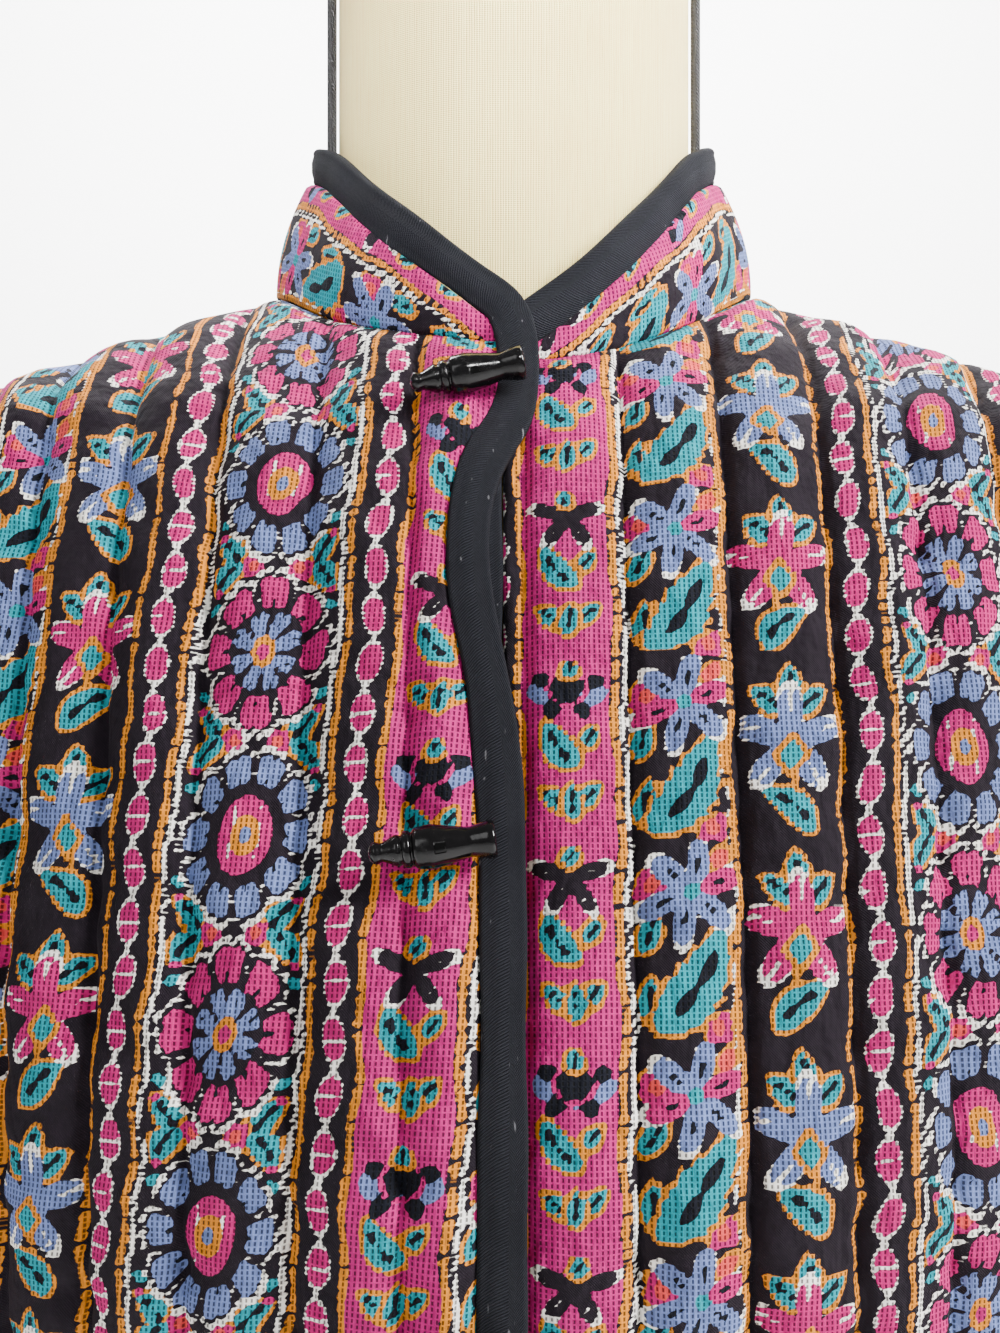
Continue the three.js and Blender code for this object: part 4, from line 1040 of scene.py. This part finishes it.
OVER_FOLDS = [
    (-44, 640, 172, 50, 8, 1.3), (-60, 600, 160, 46, 7, -1.1), (-95, 690, 118, 60, 10, 1.6),
    (-120, 640, 128, 62, 9, -1.5), (-62, 760, 140, 44, 8, 1.2), (-100, 500, 60, 70, 11, 1.5),
    (-140, 470, 70, 80, 11, -1.4), (-190, 580, 120, 70, 11, 2.2), (-210, 540, 112, 60, 10, -1.7),
    (-50, 440, 174, 48, 8, 1.1), (-80, 350, 96, 80, 12, 1.3), (-190, 330, 84, 90, 13, -1.6),
    (-30, 560, 100, 60, 7, 0.8),
]
UNDER_FOLDS = [
    (44, 655, 10, 46, 7, 1.0), (60, 612, 22, 50, 8, -1.0), (98, 700, 62, 60, 10, 1.6),
    (124, 650, 52, 64, 9, -1.5), (70, 770, 38, 46, 8, 1.1), (96, 510, 118, 72, 11, 1.4),
    (142, 480, 108, 80, 11, -1.4), (188, 590, 62, 70, 11, 2.1), (214, 545, 70, 60, 10, -1.7),
    (48, 420, 6, 50, 8, 1.0), (84, 340, 86, 80, 12, 1.2), (190, 340, 95, 90, 13, -1.6),
    (34, 540, 80, 60, 7, 0.7),
]
THREAD = (1.35, 1.4)
front_whole = float(sections["front"].whole.max())


def over_edges(z, limit):
    """From the side seam to half way under the edge's binding."""
    return -limit, lap_edge(z) - BINDING_WIDTH / 2 + 0.4


def under_edges(z, limit):
    """From half way under the edge's binding to the side seam."""
    return np.full(z.shape, UNDER_EDGE + BINDING_WIDTH / 2 - 0.2), limit


def fanned(z):
    """The lapping front's stripes run outwards on their way down: a hyperbolic tangent
    of the height, steepest at the chest."""
    return -22 * np.tanh((z - 685) / 300)


front_over = panel(
    "quilted_front_over", "front_over", "front", (-front_whole, -3.0), THREAD, 0.0,
    (86.5, 30.0), 2.2, OVER_FOLDS, over_edges, lap_lift, fanned,
)
front_under = panel(
    "quilted_front_under", "front_under", "front", (-3.6, front_whole), THREAD, 2.0,
    (52.0, 8.0), 3.7, UNDER_FOLDS, under_edges,
)

# ============================================================ sleeves
# Long straight sleeves set into the armholes, quilted in channels down their length. They
# hang beside the body and are a little crushed at the elbow.
TUBE_TOP, TUBE_CUFF, TUBE_HALF, CUFF = (224.0, -4.0), (238.0, -16.0), (28.0, 74.0), 238.0
GIRTH, SLEEVE_CHANNELS, HEAD_ROWS, TUBE_ROWS, SLEEVE_THREAD = 346.0, 12, 42, 210, (2.02, 2.0)


def armhole_half(face):
    """The armhole's edge on one face: straight down from the shoulder tip, crowded
    towards the end, then round to the side seam along the panel's edge."""
    c, section = ARMHOLE[face], sections[face]
    straight = np.linspace(0, 1, 90)
    tip = panel_top(face, np.array([c]))[0]
    z = tip - (tip - ARMHOLE_STRAIGHT) * (1 - (1 - straight) ** 2)
    under = c + (section.length_to_side(GRAIN) - c) * np.linspace(0, 1, 60)[1:]
    low = panel_top(face, under)
    low_c = np.minimum(under, section.length_to_side(low))
    c = np.concatenate([np.full(len(straight), c), low_c])
    points = section.place(c, np.concatenate([z, low]))
    points[:, 0] = np.abs(points[:, 0])
    return points


armhole_ring = np.concatenate([armhole_half("front"), armhole_half("back")[::-1][1:]])
armhole_run = run_of(armhole_ring)


def armhole_point(share):
    """Place on the armhole's edge at a share of its whole length."""
    want = share * armhole_run[-1]
    return np.stack([np.interp(want, armhole_run, armhole_ring[:, k]) for k in range(3)], -1)


def sleeve_place(share, row):
    """A point of the left sleeve's smooth form: once round it, forwards from the top line,
    and down the head (row 0 to 1) as a curve that leaves the armhole outwards and arrives
    straight down, then down the tube (1 to 2), a squared oval that narrows to the cuff."""
    angle = 2 * np.pi * share
    along = np.clip(row - 1, 0, 1)
    bulge = [np.sign(f) * np.abs(f) ** 0.85 for f in (np.cos(angle), np.sin(angle))]

    def tube(t):
        """The squared oval at a share of the way from the head's end to the cuff."""
        x = TUBE_TOP[0] + (TUBE_CUFF[0] - TUBE_TOP[0]) * t + TUBE_HALF[0] * bulge[0]
        half = TUBE_HALF[1] * (1 - 0.1 * t)
        y = TUBE_TOP[1] + (TUBE_CUFF[1] - TUBE_TOP[1]) * t - half * bulge[1]
        head_end = 628 + 58 * np.cos(angle)
        return np.stack([x, y, head_end + (CUFF - head_end) * t], -1)

    low, end = tube(along), tube(0 * along)
    begin = armhole_point(share) + np.array([1.1, 0, 0.6])
    span = np.linalg.norm(end - begin, axis=-1, keepdims=True)
    under = ((1 - np.cos(angle)) / 2)[..., None]
    leave = np.array([0.95, 0, -0.32]) * (1 - under) + np.array([0.75, 0, -0.66]) * under
    leave = leave * span * 1.15
    leave[..., 1] -= span[..., 0] * 0.35 * np.sin(angle)
    arrive = np.array([0, 0, -1.1]) * span
    t = np.clip(row, 0, 1)[..., None]
    head = begin * (2 * t**3 - 3 * t**2 + 1) + leave * (t**3 - 2 * t**2 + t)
    head = head + end * (3 * t**2 - 2 * t**3) + arrive * (t**3 - t**2)
    return np.where((row > 1)[..., None], low, head)


# middle round the sleeve and height, direction, half length, width, height
SLEEVE_FOLDS = [
    (70, 470, 168, 60, 9, 1.9), (110, 455, 12, 56, 8, -1.6), (85, 420, 175, 64, 9, 1.6),
    (60, 500, 20, 50, 8, -1.3), (230, 480, 12, 60, 9, 1.8), (260, 440, 170, 60, 9, -1.5),
    (180, 560, 30, 56, 10, 2.0), (160, 520, 150, 56, 9, -1.6), (150, 610, 20, 40, 8, 1.2),
    (40, 330, 88, 80, 11, 1.2), (250, 320, 95, 80, 11, 1.1), (120, 270, 172, 50, 9, 1.0),
]


def sleeve(name, node, side, seed):
    """One sleeve, the left one's form turned over for the right: channels as on the body,
    each a sine across to a power, with short puckers, small folds and creases. The cloth's
    two long edges are brought to one height over the last of the way round."""
    around = whole_cells(GIRTH, SLEEVE_THREAD[0])
    down = [np.linspace(0, 1, HEAD_ROWS + 1), 1 + np.linspace(0, 1, TUBE_ROWS + 1)[1:]]
    down = np.concatenate(down)
    share, row = np.meshgrid(np.arange(around + 1) / around, down, indexing="ij")
    place = sleeve_place(share, row)
    step = 4e-3
    turn = sleeve_place((share + step) % 1, row) - sleeve_place((share - step) % 1, row)
    fall = sleeve_place(share, np.minimum(row + step, 2))
    fall = fall - sleeve_place(share, np.maximum(row - step, 0))
    normal = np.cross(turn, fall)
    normal[:, 0, 0] = 0  # the head's first row stays in the armhole's own plane
    normal = unit(normal)
    steps = np.linalg.norm(np.diff(place, axis=1), axis=2)
    above = np.cumsum(steps[:, ::-1], 1)[:, ::-1]
    v = CUFF + np.concatenate([above, np.zeros((around + 1, 1))], 1)
    u = share * GIRTH
    gap = np.minimum(v - CUFF, v[:, :1] - v)
    clear = np.clip(gap / SEAM_REACH, 0, 1)
    phase = share * SLEEVE_CHANNELS
    line = np.round(phase)
    crest = np.abs(np.sin(np.pi * phase)) ** CROWN * (1 + 0.14 * wander(u, v, seed))
    nearest = np.abs(phase - line) * CHANNEL
    pucker = 0.3 * np.sin(v / 4.4 + 2.9 * (line % SLEEVE_CHANNELS)) * bell(nearest, 8.5)
    groove = 1.4 * bell(nearest, 1.8)
    relief = (PUFF + 1.0) * crest - groove + pucker + 0.5 * rumpled(u, v, seed)
    height = (relief + creases(u, v, SLEEVE_FOLDS)) * clear - edge_fall(gap)
    joined = np.clip(1 - (GIRTH - u) / 14, 0, 1)
    height = height + joined * (height[:1] - height)
    outer = place + normal * height[..., None]
    inner = place[::GATHER, ::GATHER] - normal[::GATHER, ::GATHER] * CLOTH
    outer[..., 0] *= side
    inner[..., 0] *= side
    thread = np.stack([u / SLEEVE_THREAD[0], v / SLEEVE_THREAD[1]], -1)
    shares = yarn_shares(u + 11.0 + 30 * side, v, SLEEVE_THREAD)
    grids = outer[:-1], inner[:-1], thread, shares[:-1]
    if side > 0:
        grids = (grid[:, ::-1] for grid in grids)
    return sewn(name, node, *grids, wraps=True)


for name, side, seed in (("sleeve_right", -1, 4.4), ("sleeve_left", 1, 5.9)):
    made = sleeve(f"quilted_{name}", name, side, seed)

# ============================================================ collar
# A standing band round the neck, cut with the stripes running along it. Its front ends
# fall away to the neck seam, so the two ends make a V.
COLLAR_HEIGHT, COLLAR_FOOT, COLLAR_BAND = 52.0, 0.1, 40
# place of each front end, height there, distance over which it rises, power of the rise
OVER_END, UNDER_END = (9.0, 11.0, 100.0, 1.72), (-16.0, 6.0, 100.0, 1.5)
HALF_BINDING, BINDING_CLEAR = BINDING_WIDTH / 2, BINDING_WIDTH + 0.4
LIFTED_RUN = 90  # the length of collar that sits on the lapping front
# sine of the collar's lean inwards, by degrees round from the front
lean_at = through([(0, 0.1), (90, 0.26), (180, 0.06)], 1)


def neck_edge(turn):
    """The neck seam as a ring; turn is the angle from the centre front to the left."""
    across = NECK_HALF_WIDTH * np.sin(turn)
    inside = across * 0.9999
    front = np.cos(turn) >= 0
    z = np.where(front, top_height("front", inside), top_height("back", inside))
    deep = np.where(front, depth_at("front", across, z), depth_at("back", across, z))
    deep = deep + SEAM / 2
    return np.stack([across, np.where(front, -deep, deep), z], -1)


ring_turn = np.linspace(-np.pi, np.pi, 1441)
ring_run = run_of(neck_edge(ring_turn))
to_centre_front = ring_run[len(ring_run) // 2]
half_ring = float(ring_run[-1] / 2)
over_start, under_start = OVER_END[0], UNDER_END[0] - 2 * half_ring


def front_normal(across, z):
    """Direction out of the body's front at a distance across and a height, from how the
    depth changes over a short step each way."""
    step = 0.5
    slope = depth_at("front", across + step, z) - depth_at("front", across - step, z)
    rise = depth_at("front", across, z + step) - depth_at("front", across, z - step)
    return unit(np.stack([-slope, np.full(np.shape(slope), -2 * step), -rise], -1))


def collar_frame(s):
    """Foot, outward and upward directions of the collar at a distance round the neck, from
    the centre front over the right shoulder and round the back (negative). The upward one
    leans in by the sine given; the foot is lifted with the lapping front."""
    wrapped = np.where(s < -half_ring, s + 2 * half_ring, s)
    turn = np.interp(wrapped + to_centre_front, ring_run, ring_turn)
    foot = neck_edge(turn)
    out = np.stack([np.sin(turn), -np.cos(turn), 0 * turn], -1)
    lean = lean_at(np.abs(np.degrees(turn)))[..., None]
    up = np.concatenate([-out[..., :2] * lean, np.sqrt(1 - lean**2)], -1)
    lift = lap_lift(foot[..., 0])[..., None]
    lifted = foot + front_normal(foot[..., 0], foot[..., 2]) * lift
    return np.where((s > -LIFTED_RUN)[..., None], lifted, foot), out, up


def finished_height(s):
    """Height of the collar's finished edge: level round the back, falling at each end by a
    power of the share of the rise that is still to come."""
    rises = []
    ends = (OVER_END, over_start - s), (UNDER_END, s - under_start)
    for (_, start_height, reach, power), gone in ends:
        left = np.clip(1 - np.maximum(gone, 0) / reach, 0, 1)
        rises.append(COLLAR_HEIGHT - (COLLAR_HEIGHT - start_height) * left**power)
    return np.minimum(*rises)


def height_inside(s, distance):
    """Height at a distance in from the finished edge, measured square to its slope."""
    slope = finished_height(s + 0.5) - finished_height(s - 0.5)
    return finished_height(s) - distance * np.hypot(1, slope)


first, last = over_start - BINDING_CLEAR, under_start + BINDING_WIDTH * 1.5
columns, rows = whole_cells(first - last, THREAD[0]), whole_cells(COLLAR_BAND, THREAD[1])
s = np.linspace(first, last, columns + 1)
h = COLLAR_FOOT + COLLAR_BAND * np.arange(rows + 1) / rows
s, h = np.meshgrid(s, h, indexing="ij")
top = height_inside(s, BINDING_CLEAR)
h = np.minimum(h, top - SLIVER * np.arange(rows, -1, -1)[None])
foot, out, up = collar_frame(s)
share = (h - COLLAR_FOOT) / np.maximum(top - COLLAR_FOOT, 0.5)
swell = 2.4 * np.sin(np.pi * np.clip(share, 0, 1)) ** 0.8
swell = swell + 0.7 * np.sin(s / 6.5 + 2 * np.sin(s / 31)) * np.sin(np.pi * share)
swell = swell * np.clip((top - 8) / 20, 0, 1)  # the wadding stops where the band is low
gap = np.minimum.reduce([h - COLLAR_FOOT, top - h, first - s, s - last])
on_form = foot + up * h[..., None]
outer = on_form + out * (swell + 0.3 * share - edge_fall(gap, 1.2))[..., None]
inner = (on_form - out * CLOTH)[::GATHER, ::GATHER]
shares = yarn_shares(70.4 + top - h, 40.0 - s, THREAD)
thread = np.stack([-s / THREAD[0], h / THREAD[1]], -1)
grids = (grid[:, ::-1] for grid in (outer, inner, thread, shares))
collar = sewn("collar_band", "collar", *grids)

# ============================================================ bound edge
# One strip of charcoal wool twill folded over both front edges and the top of the collar,
# held by a line of stitches near its inner edge and furred with stray pale fibres.
STATION = 1.5
HEIGHTS = np.arange(HEM, 784.5, STATION)


def front_run(across, lift):
    """Centre and outward direction of the strip up one front's edge: the body's front at
    each height, moved out along its own direction."""
    deep = depth_at("front", across, HEIGHTS) + SEAM / 2
    out = front_normal(across, HEIGHTS)
    return np.stack([across, -deep, HEIGHTS], -1) + out * lift, out


over_run, over_out = front_run(lap_edge(HEIGHTS), LAP_LIFT - CLOTH / 2)
under_run, under_out = front_run(np.full(HEIGHTS.shape, UNDER_EDGE), -CLOTH / 2)
s = np.arange(over_start - HALF_BINDING, under_start + HALF_BINDING, -STATION)
foot, out, up = collar_frame(s)
collar_run = foot + up * height_inside(s, HALF_BINDING)[:, None] - out * CLOTH / 2
centre = np.concatenate([over_run, collar_run, under_run[::-1]])
out = np.concatenate([over_out, out, under_out[::-1]])


def smoothed(values, passes):
    """Each value replaced, pass after pass, by half itself and a quarter of each
    neighbour; the ends are held."""
    for _ in range(passes):
        values[1:-1] = values[:-2] * 0.25 + values[1:-1] * 0.5 + values[2:] * 0.25
    return values


centre, out = smoothed(centre, 14), unit(smoothed(out, 30))
along = unit(np.gradient(centre, axis=0))
wide = unit(np.cross(along, out))
thick = np.cross(wide, along)
run = run_of(centre)
SECTION_POINTS, SQUARED = 28, 0.62
turn = 2 * np.pi * (np.arange(SECTION_POINTS) + 0.5) / SECTION_POINTS
flat_u, flat_v = (np.sign(f) * np.abs(f) ** SQUARED for f in (np.cos(turn), np.sin(turn)))
swing = 1 + 0.05 * np.sin(run / 17) + 0.035 * np.sin(run / 7.3 + 1)
ripple = 0.16 * np.sin(run / 3.1) + 0.12 * np.sin(run / 8.7 + 2)
stitch_dip = 0.55 * bell(np.abs(flat_u[None]) - 0.62, 0.14)
section_u = flat_u[None] * BINDING_WIDTH / 2 * swing[:, None]
section_v = flat_v[None] * (BINDING_THICKNESS / 2 - stitch_dip)
section_v = section_v + ripple[:, None] * (flat_v[None] > 0)
points, faces = rod(centre, thick, wide, np.stack([section_u, section_v], -1))

wool, surface, start = material("binding_twill", roughness=0.95, specular_ior_level=0.15)
across, along_mm, _ = on_the_cloth(start).parts()
solid_place = in_metres(start)
rib = (across * 1.25 + along_mm * 1.25).ridge()
cross_rib = (across * 2.1 - along_mm * 2.1).ridge()
felt = noise(start, solid_place, 1800.0, 3.0, 0.65)
cloud = noise(start, solid_place, 60.0, 3.0)
lint = noise(start, solid_place, 700.0, 1.0, 0.4, stretch=(1.0, 1.0, 0.16))
tone = (rib * 0.6 + cross_rib * 0.2 + felt * 0.5).fade(0.2, 1.1)
tone = tone.blend(tint(8, 8, 10), tint(46, 47, 54))
tone = (cloud.fade(0.4, 0.75) * 0.35).blend(tone, tint(17, 18, 23))
tone = (lint.fade(0.74, 0.8) * 0.5).blend(tone, tint(150, 150, 154))
start.feed(surface.inputs["Base Color"], tone)
bumped(start, surface, rib * 0.7 + cross_rib * 0.25 + felt * 0.6, 0.0005, 0.9)

outline = np.array([flat_u * HALF_BINDING, flat_v * BINDING_THICKNESS / 2])
around = np.cumsum(np.hypot(*(np.roll(outline, -1, 1) - outline)))
binding = fitted(
    "binding_strip", "edge_binding", "binding_twill", wool, points, faces, rod_map(around, run)
)

# ============================================================ toggles
# Turned toggles of black lacquered wood beside the bound edge. Each has a ball end, a neck
# with rings and a barrel with a small square slot where its cord is drawn in. The slot is
# not cut: it is painted shade, a darker black than the lacquer, pressed in a little by the bump.

# name and tilt in degrees of each; then the outline, as radius and distance along
TOGGLES = (("toggle_1", 10.7), ("toggle_2", 7.0), ("toggle_3", 6.0), ("toggle_4", 8.0))
TOGGLE_LENGTH, TOGGLE_STOUTNESS = 32, 1.06
OUTLINE = [
    (0, 0), (1.8, 0.5), (2.9, 1.8), (2.1, 3.4), (3.9, 7.4), (3.3, 8.4), (4.4, 9.2), (4.4, 10.5),
    (3.7, 11.1), (4.9, 12.0), (5.25, 16.0), (4.3, 21.5), (3.5, 25.5), (4.6, 30.5), (4.3, 32),
    (0, 32),
]
lacquer, surface, start = material("toggle_gloss", roughness=0.12, specular_ior_level=0.28)
about, along_mm, _ = on_the_cloth(start).parts()
scuff = noise(start, in_metres(start), 420.0, 3.0, 0.6)
# painted shade: the slot is coloured darker than the lacquer, as the shade in a hole would be
slot_painted_shade = (about - 0.5).math("ABSOLUTE").fade(0.036, 0.046, 1.0, 0.0)
slot_painted_shade = slot_painted_shade * (along_mm - 18.2).math("ABSOLUTE").fade(1.2, 1.5, 1.0, 0.0)
start.feed(surface.inputs["Base Color"], slot_painted_shade.blend(tint(8, 7, 8), tint(1, 1, 1)))
start.feed(surface.inputs["Roughness"], scuff.fade(0.35, 0.75, 0.1, 0.3))
bumped(start, surface, scuff * 0.05 - slot_painted_shade, 0.0008, 0.9)
points, faces = turned(rounded(OUTLINE, 0.7, 4), 64)
about = np.arctan2(points[:, 0], -points[:, 1]) / (2 * np.pi) + 0.5
toggle_map = np.stack([about, points[:, 2]], -1)
faces = [face[::-1] for face in faces]  # laying the lathe over mirrors it
for name, tilt in TOGGLES:
    low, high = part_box(name)
    middle = np.array((low + high) / 2) / MM
    turn = math.radians(tilt)
    axis = np.array([math.cos(turn), 0, math.sin(turn)])
    side = np.array([-math.sin(turn), 0, math.cos(turn)])
    radial = points[:, :1] * side + points[:, 1:2] * np.array([0, 1.0, 0])
    placed = middle + (points[:, 2:] - TOGGLE_LENGTH / 2) * axis + TOGGLE_STOUTNESS * radial
    fitted(f"turned_{name}", name, "toggle_gloss", lacquer, placed, faces, toggle_map)

# ============================================================ studio
# A roll of pale paper that lies under the stand and curves up into a white backdrop, a
# large soft light from the right, weak ones from the left and at the neck, and one behind.
paper, surface, start = material("paper", roughness=0.9)
mottle = noise(start, in_metres(start), 3.0)
start.feed(surface.inputs["Base Color"], mottle.blend(tint(244, 244, 243), tint(250, 250, 250)))
# distance behind the form and height, in metres
SWEEP = [(-2.6, 0), (1.6, 0), (1.9, 0.04), (2.15, 0.15), (2.3, 0.35), (2.35, 0.7), (2.35, 3.2)]
floor_mesh = bpy.data.meshes.new("paper")
corners = [(x, y, z) for x in (-3.2, 3.2) for y, z in SWEEP]
count = len(SWEEP)
strips = [[k, k + count, k + count + 1, k + 1] for k in range(count - 1)]
floor_mesh.from_pydata(corners, [], strips)
floor_mesh.materials.append(paper)
floor_mesh.polygons.foreach_set("use_smooth", np.ones(len(strips), dtype=bool))
floor = bpy.data.objects.new("paper_sweep", floor_mesh)
bpy.context.collection.objects.link(floor)

world = bpy.data.worlds.new("studio")
bpy.context.scene.world = world
world.use_nodes = True
sky = world.node_tree.nodes["Background"]
sky.inputs["Color"].default_value = (1, 1, 1, 1)
sky.inputs["Strength"].default_value = 0.38


def softbox(name, place, target, size, watts, spread=180):
    """A soft rectangular light at a place, tipped by the angle between straight down and
    the target, and turned to the target's compass direction."""
    data = bpy.data.lights.new(name, "AREA")
    data.shape = "RECTANGLE"
    data.size, data.size_y = size
    data.energy = watts
    data.spread = math.radians(spread)
    made = bpy.data.objects.new(name, data)
    bpy.context.collection.objects.link(made)
    made.location = place
    aim = np.array(target, dtype=float) - np.array(place, dtype=float)
    tip = math.atan2(math.hypot(aim[0], aim[1]), -aim[2])
    made.rotation_euler = (tip, 0, math.atan2(aim[1], aim[0]) - math.pi / 2)


softbox("key", (1.45, -0.72, 1.7), (0, -0.05, 0.65), (0.45, 0.7), 100)
softbox("fill", (-1.1, -1.5, 1.6), (0, 0, 0.65), (0.9, 1.1), 12)
softbox("neck", (0.25, -0.95, 1.4), (0, -0.02, 0.95), (0.3, 0.2), 1.1, 18)
softbox("backdrop", (0.0, 0.9, 2.4), (0, 2.3, 0.7), (2.4, 0.8), 370)

camera_data = bpy.data.cameras.new("camera")
camera_data.sensor_fit = "HORIZONTAL"
camera_data.angle = math.radians(35.6)
camera_data.clip_start = 0.01
camera = bpy.data.objects.new("camera", camera_data)
bpy.context.collection.objects.link(camera)
camera.location = (-0.0045, -0.515, 0.710)
camera.rotation_euler = (math.radians(90), 0, 0)
bpy.context.scene.camera = camera
